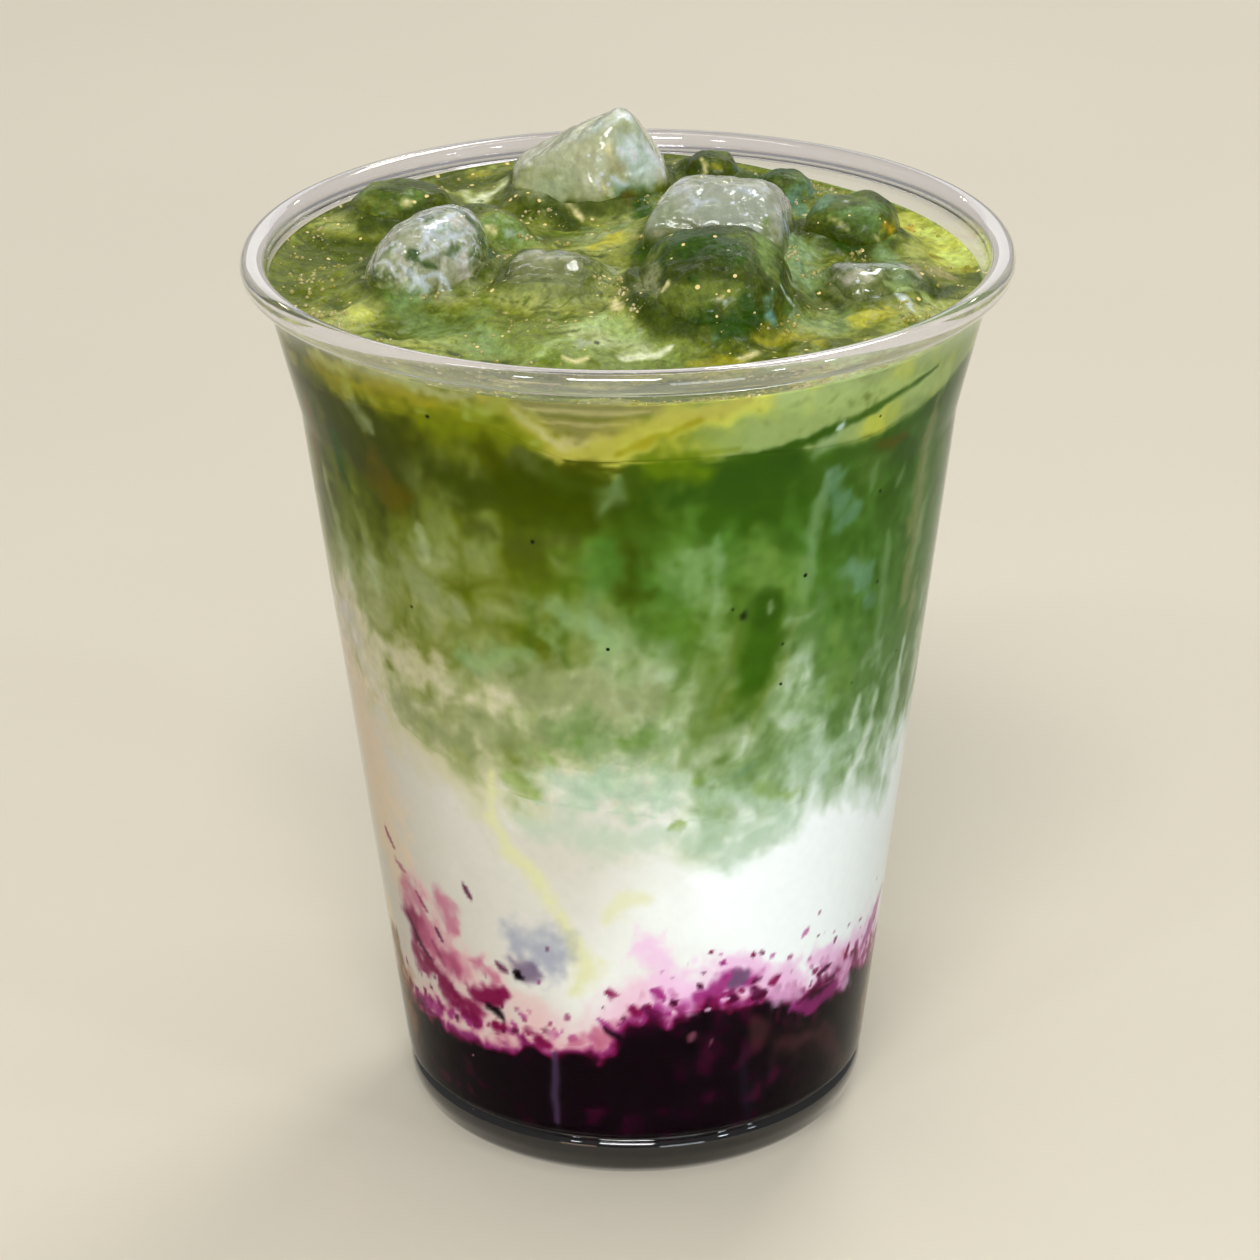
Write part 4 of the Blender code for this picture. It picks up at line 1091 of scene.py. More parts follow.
def wet_grain_group() -> bpy.types.NodeTree:
    """The shared effect of fine grain: it mottles a colour, strews flecks and raises a fine relief.

    Returns:
        The shader node group, built once.
    """
    name = "wet_grain"
    if name in bpy.data.node_groups:
        return bpy.data.node_groups[name]
    inputs = {
        "Tint": "NodeSocketColor",
        "Mottle Scale": "NodeSocketFloat",
        "Mottle Amount": "NodeSocketFloat",
        "Fleck Tint": "NodeSocketColor",
        "Fleck Scale": "NodeSocketFloat",
        "Fleck Size": "NodeSocketFloat",
        "Fleck Share": "NodeSocketFloat",
        "Relief Scale": "NodeSocketFloat",
    }
    tree = open_group(name, inputs, {"Colour": "NodeSocketColor", "Height": "NodeSocketFloat"})
    nodes, links = tree.nodes, tree.links
    given = nodes.new("NodeGroupInput")
    result = nodes.new("NodeGroupOutput")
    where = nodes.new("ShaderNodeTexCoord")

    def calculate(operation: str, *values: bpy.types.NodeSocket | float) -> bpy.types.NodeSocket:
        """The result of a sum on sockets and numbers."""
        node = nodes.new("ShaderNodeMath")
        node.operation = operation
        for socket, value in zip(node.inputs, values):
            if isinstance(value, bpy.types.NodeSocket):
                links.new(value, socket)
            else:
                socket.default_value = value
        return node.outputs[0]

    mottle = nodes.new("ShaderNodeTexNoise")
    mottle.inputs["Detail"].default_value = 3.0
    links.new(where.outputs["Object"], mottle.inputs["Vector"])
    links.new(given.outputs["Mottle Scale"], mottle.inputs["Scale"])
    centred = calculate("SUBTRACT", mottle.outputs["Fac"], 0.5)
    gain = calculate("MULTIPLY_ADD", centred, given.outputs["Mottle Amount"], 1.0)
    shaded = nodes.new("ShaderNodeVectorMath")
    shaded.operation = "SCALE"
    links.new(given.outputs["Tint"], shaded.inputs[0])
    links.new(gain, shaded.inputs["Scale"])

    cells = nodes.new("ShaderNodeTexVoronoi")
    links.new(where.outputs["Object"], cells.inputs["Vector"])
    links.new(given.outputs["Fleck Scale"], cells.inputs["Scale"])
    pick = nodes.new("ShaderNodeSeparateColor")
    links.new(cells.outputs["Color"], pick.inputs["Color"])
    chosen = calculate("LESS_THAN", pick.outputs["Red"], given.outputs["Fleck Share"])
    reach = calculate("MULTIPLY", given.outputs["Fleck Size"], pick.outputs["Green"])
    inside = calculate("LESS_THAN", cells.outputs["Distance"], reach)
    fleck = calculate("MULTIPLY", chosen, inside)
    mix = nodes.new("ShaderNodeMix")
    mix.data_type = "RGBA"
    links.new(fleck, mix.inputs["Factor"])
    links.new(shaded.outputs["Vector"], mix.inputs["A"])
    links.new(given.outputs["Fleck Tint"], mix.inputs["B"])
    links.new(mix.outputs["Result"], result.inputs["Colour"])

    relief = nodes.new("ShaderNodeTexNoise")
    relief.inputs["Detail"].default_value = 4.0
    links.new(where.outputs["Object"], relief.inputs["Vector"])
    links.new(given.outputs["Relief Scale"], relief.inputs["Scale"])
    links.new(relief.outputs["Fac"], result.inputs["Height"])
    return tree


@dataclass(frozen=True)
class DrinkFinish:
    """A painted wet surface: its tint comes from the vertices, its grain and flecks from noise."""

    name: str
    roughness: float = 0.35
    specular: float = 0.5
    coat: float = 0.0
    coat_roughness: float = 0.06
    clearness: float = 0.0
    refraction: float = 1.31
    mottle_scale: float = 700.0
    mottle_amount: float = 0.25
    fleck: Tint = Tint.TEA_BLACK
    fleck_scale: float = 330.0
    fleck_size: float = 0.16
    fleck_share: float = 0.0
    relief_scale: float = 900.0
    relief_depth: float = 0.0

    def material(self) -> bpy.types.Material:
        """Build the material."""
        made, tree, shader = new_material(self.name)
        nodes, links = tree.nodes, tree.links
        tint = nodes.new("ShaderNodeAttribute")
        tint.attribute_name = "tint"
        grain = nodes.new("ShaderNodeGroup")
        grain.node_tree = wet_grain_group()
        set_inputs(grain, {
            "Mottle Scale": self.mottle_scale,
            "Mottle Amount": self.mottle_amount,
            "Fleck Tint": (*to_linear(self.fleck.screen), 1.0),
            "Fleck Scale": self.fleck_scale,
            "Fleck Size": self.fleck_size,
            "Fleck Share": self.fleck_share,
            "Relief Scale": self.relief_scale,
        })
        links.new(tint.outputs["Color"], grain.inputs["Tint"])
        links.new(grain.outputs["Colour"], shader.inputs["Base Color"])
        if self.relief_depth > 0.0:
            bump = nodes.new("ShaderNodeBump")
            set_inputs(bump, {"Strength": 1.0, "Distance": self.relief_depth * MM})
            links.new(grain.outputs["Height"], bump.inputs["Height"])
            links.new(bump.outputs["Normal"], shader.inputs["Normal"])
        set_inputs(shader, {
            "Roughness": self.roughness,
            "Specular IOR Level": self.specular,
            "IOR": self.refraction,
            "Transmission Weight": self.clearness,
            "Coat Weight": self.coat,
            "Coat Roughness": self.coat_roughness,
        })
        return made


@dataclass(frozen=True)
class ClearPlasticFinish:
    """The tumbler's clear plastic: calm on the wall, glossy where the attribute "gloss" says so."""

    name: str = "clear_plastic"
    colour: tuple[float, float, float] = (0.975, 0.985, 0.985)
    roughness: float = 0.02
    refraction: float = 1.14
    transmission: float = 1.0
    scuff_scale: float = 140.0
    scuff_roughness: float = 0.05
    scuff_range: tuple[float, float] = (0.45, 0.75)
    shadow_colour: tuple[float, float, float] = (0.96, 0.97, 0.97)

    def material(self) -> bpy.types.Material:
        """Build the material."""
        made, tree, shader = new_material(self.name)
        nodes, links = tree.nodes, tree.links
        set_inputs(shader, {
            "Base Color": (*self.colour, 1.0),
            "IOR": self.refraction,
            "Transmission Weight": self.transmission,
        })
        where = nodes.new("ShaderNodeTexCoord")
        scuffs = nodes.new("ShaderNodeTexNoise")
        scuffs.inputs["Scale"].default_value = self.scuff_scale
        spread = nodes.new("ShaderNodeMapRange")
        set_inputs(spread, {
            "From Min": self.scuff_range[0],
            "From Max": self.scuff_range[1],
            "To Min": self.roughness,
            "To Max": self.scuff_roughness,
        })
        links.new(where.outputs["Object"], scuffs.inputs["Vector"])
        links.new(scuffs.outputs["Fac"], spread.inputs["Value"])
        links.new(spread.outputs["Result"], shader.inputs["Roughness"])
        gloss = nodes.new("ShaderNodeAttribute")
        gloss.attribute_name = "gloss"
        links.new(gloss.outputs["Fac"], shader.inputs["Coat Weight"])
        clear = nodes.new("ShaderNodeBsdfTransparent")
        clear.inputs["Color"].default_value = (*self.shadow_colour, 1.0)
        path = nodes.new("ShaderNodeLightPath")
        mix = nodes.new("ShaderNodeMixShader")
        links.new(path.outputs["Is Shadow Ray"], mix.inputs["Fac"])
        links.new(shader.outputs["BSDF"], mix.inputs[1])
        links.new(clear.outputs["BSDF"], mix.inputs[2])
        links.new(mix.outputs["Shader"], nodes["Material Output"].inputs["Surface"])
        return made


@dataclass(frozen=True)
class GrainFinish:
    """Small grains such as flecks of tea: two colours mixed from grain to grain by noise."""

    name: str
    first: tuple[int, int, int]
    second: tuple[int, int, int]
    roughness: float = 0.4
    scale: float = 180.0
    ends: tuple[float, float] = (0.4, 0.6)

    def material(self) -> bpy.types.Material:
        """Build the material."""
        made, tree, shader = new_material(self.name)
        nodes, links = tree.nodes, tree.links
        where = nodes.new("ShaderNodeTexCoord")
        noise = nodes.new("ShaderNodeTexNoise")
        noise.inputs["Scale"].default_value = self.scale
        ramp = nodes.new("ShaderNodeValToRGB")
        for end, place, colour in zip(ramp.color_ramp.elements, self.ends, (self.first, self.second)):
            end.position = place
            end.color = (*to_linear(np.array(colour) / 255.0), 1.0)
        links.new(where.outputs["Object"], noise.inputs["Vector"])
        links.new(noise.outputs["Fac"], ramp.inputs["Fac"])
        links.new(ramp.outputs["Color"], shader.inputs["Base Color"])
        shader.inputs["Roughness"].default_value = self.roughness
        return made


@dataclass(frozen=True)
class BubbleFinish:
    """Thin-skinned bubbles of foam: glossy, half clear and tinted from bubble to bubble."""

    name: str = "bubble_skin"
    roughness: float = 0.08
    clearness: float = 0.45
    refraction: float = 1.2
    coat: float = 0.8
    coat_roughness: float = 0.04
    scale: float = 260.0

    def material(self) -> bpy.types.Material:
        """Build the material."""
        # the bubbles are tinted with the yellow of the froth and the cream of the painted glints
        made = GrainFinish(self.name, Tint.FROTH_YELLOW.value, Tint.CREAM_GLINT.value,
                           self.roughness, self.scale).material()
        set_inputs(made.node_tree.nodes["Principled BSDF"], {
            "Transmission Weight": self.clearness,
            "IOR": self.refraction,
            "Coat Weight": self.coat,
            "Coat Roughness": self.coat_roughness,
        })
        return made


@dataclass
class Tumbler:
    """The clear tumbler: foot, groove, wall, stacking bend and rolled rim."""

    segments: int = 256
    rim_steps: int = 28
    corner_reach: float = 0.7
    corner_share: float = 0.4
    floor_overlap: float = 6.0
    corner_steps: int = 5
    longest_step: float = 2.5
    wall_gloss: float = 0.0
    foot_gloss: float = 1.0
    foot_fade: tuple[float, float] = (GROOVE_Z - 0.8, WALL_FOOT_Z + 0.6)
    rim_fade: tuple[float, float] = (COLLAR_Z - 5.0, COLLAR_Z - 2.0)
    rim_from: float = COLLAR_Z + 0.3
    foot_to: float = GROOVE_Z
    wall_finish: ClearPlasticFinish = ClearPlasticFinish()
    rim_finish: ClearPlasticFinish = ClearPlasticFinish(
        "rim_plastic", colour=(0.84, 0.82, 0.88), roughness=0.03, refraction=1.42, transmission=0.93,
        scuff_roughness=0.16)
    # the foot's dark tint is painted: it stands in for the dark compote seen through the clear foot
    foot_finish: ClearPlasticFinish = ClearPlasticFinish(
        "foot_plastic_painted_dark", colour=(0.2, 0.15, 0.2), roughness=0.03, refraction=1.42)

    def rim(self) -> list[tuple[float, float]]:
        """Radius and height round the rolled rim, from the outer wall to the inner."""
        tube = RIM_TUBE_RADIUS
        radius = RIM_OUTER_RADIUS - tube
        height = CUP_HEIGHT - tube
        angles = np.radians(np.linspace(RIM_START_ANGLE, RIM_END_ANGLE, self.rim_steps + 1))
        return [(radius + tube * math.cos(angle), height + tube * math.sin(angle)) for angle in angles]

    def rounded(self, corners: list[tuple[float, float]]) -> list[tuple[float, float]]:
        """The same outline with each inner corner turned into a small arc.

        Args:
            corners: radius and height of each corner.

        Returns:
            Radius and height of each point.
        """
        made = [corners[0]]
        for before, corner, after in zip(corners, corners[1:], corners[2:]):
            here = np.array(corner)
            ends = []
            for other in (before, after):
                run = np.array(other) - here
                length = float(np.hypot(*run))
                ends.append(here + run * min(self.corner_reach, self.corner_share * length) / length)
            for share in np.linspace(0.0, 1.0, self.corner_steps):
                point = (1 - share) ** 2 * ends[0] + 2 * share * (1 - share) * here + share**2 * ends[1]
                made.append((float(point[0]), float(point[1])))
        made.append(corners[-1])
        return made

    def profile(self) -> list[tuple[float, float]]:
        """Radius and height of the whole outline, from under the foot to the floor inside."""
        outside = [
            (RECESS_RADIUS - self.floor_overlap, RECESS_Z),
            (RECESS_RADIUS, RECESS_Z),
            (STAND_INNER_RADIUS, 0.0),
            (STAND_RADIUS, 0.0),
            (FOOT_CORNER_RADIUS, FOOT_CORNER_Z),
            (FOOT_RADIUS, FOOT_BULGE_Z),
            (FOOT_RADIUS, FOOT_TOP_Z),
            (GROOVE_RADIUS, GROOVE_Z),
            (WALL_FOOT_RADIUS, WALL_FOOT_Z),
            (STACK_RADIUS, STACK_Z),
            self.rim()[0],
        ]
        floor_z = RECESS_Z + FLOOR_THICKNESS
        lip = GROOVE_RADIUS - WALL
        inside = [
            self.rim()[-1],
            (COLLAR_RADIUS - WALL, COLLAR_Z),
            (STACK_RADIUS - WALL, STACK_Z),
            (float(outer_radius(FLOOR_WALL_Z)) - WALL, FLOOR_WALL_Z),
            (lip, FLOOR_LIP_Z),
            (lip, floor_z + FLOOR_CORNER_HEIGHT),
            (lip - FLOOR_CORNER_WIDTH / 3.0, floor_z + FLOOR_CORNER_HEIGHT / 4.0),
            (lip - FLOOR_CORNER_WIDTH, floor_z),
            (lip - FLOOR_CORNER_WIDTH - self.floor_overlap, floor_z),
        ]
        return self.stepped(self.rounded(outside) + self.rim()[1:-1] + self.rounded(inside))

    def stepped(self, corners: list[tuple[float, float]]) -> list[tuple[float, float]]:
        """The same outline with further points along its long runs.

        Args:
            corners: radius and height of each point.

        Returns:
            Radius and height of each point, old and new.
        """
        made = [corners[0]]
        for before, after in zip(corners, corners[1:]):
            count = max(1, math.ceil(math.dist(before, after) / self.longest_step))
            for step in range(1, count + 1):
                share = step / count
                made.append(tuple(low + (high - low) * share for low, high in zip(before, after)))
        return made

    def build(self) -> bpy.types.Object:
        """Turn the outline round the axis and dress it."""
        angles = 2.0 * np.pi * np.arange(self.segments) / self.segments
        level = np.ones(self.segments)
        rows = np.array([
            np.stack((radius * np.cos(angles), radius * np.sin(angles), height * level), axis=1)
            for radius, height in self.profile()
        ])
        bottom = np.array((0.0, 0.0, RECESS_Z))
        top = np.array((0.0, 0.0, RECESS_Z + FLOOR_THICKNESS))
        places, faces = revolved(rows, bottom, top)
        item = mesh_object("clear_tumbler", places, faces)
        height = vertex_data(item)[0][:, 2]
        foot = self.foot_gloss * (1.0 - smooth_step(height, *self.foot_fade))
        edges = np.maximum(smooth_step(height, *self.rim_fade), foot)
        store_share(item, "gloss", self.wall_gloss + (1.0 - self.wall_gloss) * edges)
        wear(item, self.wall_finish.material())
        item.data.materials.append(self.rim_finish.material())
        item.data.materials.append(self.foot_finish.material())
        for face in item.data.polygons:
            level = face.center.z / MM
            face.material_index = 1 if level > self.rim_from else 2 if level < self.foot_to else 0
        place_piece(item, "cup", "cup")
        return item


@dataclass
class LayeredDrink:
    """Berry compote, milk and matcha, whose borders run wavy round the wall."""

    segments: int = 800
    row_height: float = 0.5
    shares: tuple[float, ...] = (0.0, 0.35, 0.75, 0.96)
    sharp_angle: float = 50.0
    pale_threads: float = 0.16
    dark_threads: float = 0.35
    froth_shade: float = 0.92
    painter: Painter = field(
        default_factory=lambda: Painter(Splashes().marks() + WALL_MARKS + WINDOW_MARKS, PAINT_SEED))
    grain: Grain = field(default_factory=lambda: Grain(5))

    def azimuths(self) -> np.ndarray:
        """Azimuth of each step round the wall, from -180."""
        return -180.0 + 360.0 * np.arange(self.segments) / self.segments

    def border(self, anchors: tuple[tuple[float, float], ...], share: float) -> np.ndarray:
        """Heights of a calm border at a share of the radius: level in the middle, wavy at the wall."""
        middle = sum(height for _, height in anchors) / len(anchors)
        return middle + (around(anchors, self.azimuths()) - middle) * share**2

    def foam_root(self, share: float) -> np.ndarray:
        """Heights of the foam's underside: high at the wall, deep under the ice."""
        edge = around(MATCHA_TOP, self.azimuths())
        return FOAM_ROOT_Z + (edge - FOAM_ROOT_Z) * share**FOAM_ROOT_POWER

    def ring(self, radius: np.ndarray, height: np.ndarray) -> np.ndarray:
        """A ring of points, one for each azimuth."""
        angle = np.radians(self.azimuths())
        height = np.broadcast_to(height, angle.shape)
        return np.stack((radius * np.sin(angle), -radius * np.cos(angle), height), axis=1)

    def side(self, low: np.ndarray, high: np.ndarray) -> list[np.ndarray]:
        """Rings up the wall between two borders.

        Args:
            low: height of the lower border at each azimuth.
            high: height of the upper one.

        Returns:
            The rings, from the lower border to the upper.
        """
        count = max(2, int(np.max(high - low) / self.row_height))
        rings = []
        for share in np.linspace(0.0, 1.0, count + 1):
            height = low + (high - low) * share
            rings.append(self.ring(drink_radius(height), height))
        return rings

    def cap(self, height_at: Callable[[float], np.ndarray], rim: np.ndarray) -> list[np.ndarray]:
        """Rings of a border inside the drink, from near the middle out towards the wall."""
        return [self.ring(share * drink_radius(rim), height_at(share)) for share in self.shares[1:]]

    def coat(self, places: np.ndarray) -> np.ndarray:
        """Base colours of the drink's side: marbled layers that run into each other.

        Args:
            places: points of the side in millimetres.

        Returns:
            One colour for each point, as shown on a screen.
        """
        azimuth = np.degrees(np.arctan2(places[:, 0], -places[:, 1]))
        seen = places + 3.6 * self.grain.push(places, 17.0) + 2.0 * self.grain.push(places, 6.0)
        seen += 0.9 * self.grain.push(places, 2.3)
        drawn = (places + 0.5 * (seen - places)) * np.array((1.0, 1.0, 0.42))
        cloud = self.grain.layered(seen, 15.0, 5)
        streak = self.grain.layered(drawn + 50.0, 5.0, 4)
        fine = self.grain.layered(seen - 20.0, 2.6, 3)
        hue = self.grain.layered(seen + 80.0, 19.0, 3)
        # left mixes in the warm run at the left and the cool run at the right: partly the drink's own tone,
        # partly painted warm light from the left and cool light from the right
        left = smooth_step(-azimuth + 30.0 * hue, -32.0, 34.0) * smooth_step(azimuth, -185.0, -120.0)
        milk_top = around(MILK_TOP, azimuth)
        matcha_top = around(MATCHA_TOP, azimuth)
        berry_top = around(BERRY_TOP, azimuth)
        strength = (places[:, 2] - milk_top) / (matcha_top - milk_top)
        loose = smooth_step(strength, -0.35, 0.1)
        pale_left = left * np.exp(-((strength - 0.38) / 0.28) ** 2)
        strength = strength + loose * (0.42 * cloud + 0.28 * streak + 0.2 * fine) - 0.1 * pale_left
        colours = blend(Ramp.COOL.colours(strength), Ramp.WARM.colours(strength), left)
        glow = smooth_step(self.grain.layered(seen + 21.0, 8.5, 4), 0.0, 0.34)
        glow = glow * smooth_step(strength, 0.55, 0.95)
        colours = blend(colours, blend(Tint.LEAF_GREEN.screen, Tint.OLIVE.screen, left), 0.5 * glow)
        colours = self.veined(colours, drawn, seen, strength)
        colours = self.frothed(colours, places, azimuth, matcha_top, fine, streak)
        return self.stained(colours, places, berry_top, cloud, left)

    def veined(self, colours: np.ndarray, drawn: np.ndarray, seen: np.ndarray,
               strength: np.ndarray) -> np.ndarray:
        """Pale threads and dark threads through the tea.

        Args:
            colours: base colours.
            drawn: points pushed by noise and drawn out upright.
            seen: points pushed by noise.
            strength: how strong the tea is at each point.

        Returns:
            The colours with the threads.
        """
        tea = smooth_step(strength, 0.12, 0.4)
        line = np.abs(self.grain.layered(drawn - 40.0, 7.5, 4))
        patch = smooth_step(self.grain.layered(seen + 33.0, 13.0, 2), -0.08, 0.3)
        thread = tea * patch * (1.0 - smooth_step(line, 0.0, 0.2))
        colours = blend(colours, Tint.GLACIER.screen, self.pale_threads * thread)
        line = np.abs(self.grain.layered(drawn - 70.0, 9.0, 4))
        patch = smooth_step(self.grain.layered(seen + 61.0, 11.0, 2), -0.05, 0.3)
        thread = tea * patch * (1.0 - smooth_step(line, 0.0, 0.12))
        return blend(colours, Tint.SHADE_GREEN.screen, self.dark_threads * thread)

    def frothed(self, colours: np.ndarray, places: np.ndarray, azimuth: np.ndarray, matcha_top: np.ndarray,
                fine: np.ndarray, streak: np.ndarray) -> np.ndarray:
        """The froth against the wall: streaky olive at the left, pale and smooth at the right.

        Args:
            colours: base colours.
            places: points of the side in millimetres.
            azimuth: their azimuths.
            matcha_top: height of the tea's border at each.
            fine: fine noise.
            streak: noise drawn out upright.

        Returns:
            The colours with the froth.
        """
        right = smooth_step(azimuth, -8.0, 22.0) * (1.0 - smooth_step(azimuth, 140.0, 175.0))
        edge = places[:, 2] - matcha_top + 0.8 * fine
        froth = smooth_step(edge, -0.9, 0.7)
        left_tint = blend(Tint.OLIVE.screen, Tint.FROTH_YELLOW.screen, smooth_step(streak + fine, -0.1, 0.5))
        right_tint = blend(Tint.FROTH_PALE.screen * self.froth_shade, Tint.FROTH_LIME.screen,
                           smooth_step(streak, -0.2, 0.35))
        colours = blend(colours, Tint.SHADE_GREEN.screen, 0.6 * right * np.exp(-((edge + 1.8) / 1.3) ** 2))
        return blend(colours, blend(left_tint, right_tint, right), (0.55 + 0.35 * right) * froth)

    def stained(self, colours: np.ndarray, places: np.ndarray, berry_top: np.ndarray, cloud: np.ndarray,
                left: np.ndarray) -> np.ndarray:
        """The berry's stain: pink haze, then magenta, wine and nearly black.

        Args:
            colours: base colours.
            places: points of the side in millimetres.
            berry_top: height of the compote's border at each.
            cloud: coarse noise.
            left: how far each lies to the left, from 0 to 1.

        Returns:
            The colours with the stain.
        """
        tongues = self.grain.layered(places + 2.0 * self.grain.push(places, 3.0), 4.5, 4)
        crumbs = self.grain.layered(places - 60.0, 1.7, 2)
        depth = berry_top - places[:, 2] + 5.5 * tongues + 1.6 * crumbs
        # the pink is warmer at the left: partly painted warm light from the left
        pink = blend(Tint.PINK_PALE.screen, Tint.PINK_HAZE.screen, left)
        colours = blend(colours, pink, 0.8 * smooth_step(depth + 6.0 * cloud, -7.5, -0.5))
        colours = blend(colours, Tint.ROSE.screen, 0.6 * smooth_step(depth, -2.6, -0.9))
        colours = blend(colours, Tint.MAGENTA.screen * 0.9, 0.9 * smooth_step(depth, -1.5, -0.4))
        colours = blend(colours, Tint.WINE.screen * 0.85, 0.9 * smooth_step(depth, -0.5, 0.8))
        deep = 0.5 * tongues + crumbs
        black = blend(Tint.BERRY_BLACK.screen, Tint.BERRY_DARK.screen * 0.7, smooth_step(deep, 0.1, 0.7))
        return blend(colours, black, smooth_step(depth, 0.3, 1.8))

    def layer(self, name: str, rings: list[np.ndarray], low: float, high: float) -> bpy.types.Object:
        """One layer's closed skin, painted.

        Args:
            name: name of the piece.
            rings: its rings of points, from below.
            low: height of its middle below.
            high: height of its middle above.

        Returns:
            The piece.
        """
        rows = np.array(rings)
        bottom = np.array((0.0, 0.0, low))
        top = np.array((0.0, 0.0, high))
        places, faces = revolved(rows, bottom, top)
        item = mesh_object(name, places, faces)
        item.data.set_sharp_from_angle(angle=math.radians(self.sharp_angle))
        spots, normals = vertex_data(item)
        store_tint(item, self.painter.paint(spots, normals, self.coat(spots)))
        return item

    def berry_floor(self) -> list[tuple[float, float]]:
        """Radius and height pairs of the compote's underside, just inside the tumbler's floor."""
        floor_z = RECESS_Z + FLOOR_THICKNESS - SINK
        lip = GROOVE_RADIUS - WALL + SINK
        return [
            (lip - FLOOR_CORNER_WIDTH, floor_z),
            (lip - FLOOR_CORNER_WIDTH / 3.0, floor_z + FLOOR_CORNER_HEIGHT / 4.0),
            (lip, floor_z + FLOOR_CORNER_HEIGHT),
            (lip, FLOOR_LIP_Z - SINK),
        ]

    def build(self) -> list[bpy.types.Object]:
        """Make the three layers and dress them."""
        berry_rim = around(BERRY_TOP, self.azimuths())
        milk_rim = around(MILK_TOP, self.azimuths())
        matcha_rim = around(MATCHA_TOP, self.azimuths())
        floor = [self.ring(np.full(self.segments, radius), height) for radius, height in self.berry_floor()]
        wall_foot = np.full(self.segments, FLOOR_WALL_Z)
        berry_middle = float(self.border(BERRY_TOP, 0.0)[0])
        milk_middle = float(self.border(MILK_TOP, 0.0)[0])
        berry_cap = self.cap(lambda share: self.border(BERRY_TOP, share), berry_rim)
        milk_cap = self.cap(lambda share: self.border(MILK_TOP, share), milk_rim)
        root_cap = self.cap(self.foam_root, matcha_rim)
        berry = self.layer("berry_compote", floor + self.side(wall_foot, berry_rim) + berry_cap[::-1],
                           self.berry_floor()[0][1], berry_middle)
        milk = self.layer("cold_milk", berry_cap + self.side(berry_rim, milk_rim) + milk_cap[::-1],
                          berry_middle, milk_middle)
        matcha = self.layer("matcha_tea", milk_cap + self.side(milk_rim, matcha_rim) + root_cap[::-1],
                            milk_middle, FOAM_ROOT_Z)
        wear(berry, DrinkFinish("berry_side", specular=0.0, mottle_amount=0.15, fleck=Tint.ROSE,
                                fleck_share=0.06, fleck_size=0.12).material())
        wear(milk, DrinkFinish("milk_side", specular=0.0, mottle_amount=0.08, fleck=Tint.GREEN_SPOT,
                               fleck_share=0.03, fleck_size=0.11).material())
        wear(matcha, DrinkFinish("matcha_side", specular=0.0, mottle_scale=520.0, mottle_amount=0.55,
                                 fleck=Tint.TEA_BLACK, fleck_share=0.11, fleck_size=0.13).material())
        place_piece(berry, "berry", "berry_layer")
        place_piece(milk, "milk", "milk_layer")
        place_piece(matcha, "matcha", "matcha_layer")
        return [berry, milk, matcha]


class IceKind(Enum):
    """Kinds of ice, by how they look, each with the name of its slot."""

    CLEAR = "clear"
    FROSTED = "frosted"
    COATED = "coated"

    @property
    def slot(self) -> str:
        """The slot of the solid that such a lump stands for."""
        return "coated_ice" if self is IceKind.COATED else "clear_ice"


# An edge of a lump of ice runs where the nearest face leads the next by less than this.
EDGE_LEAD = 1.09


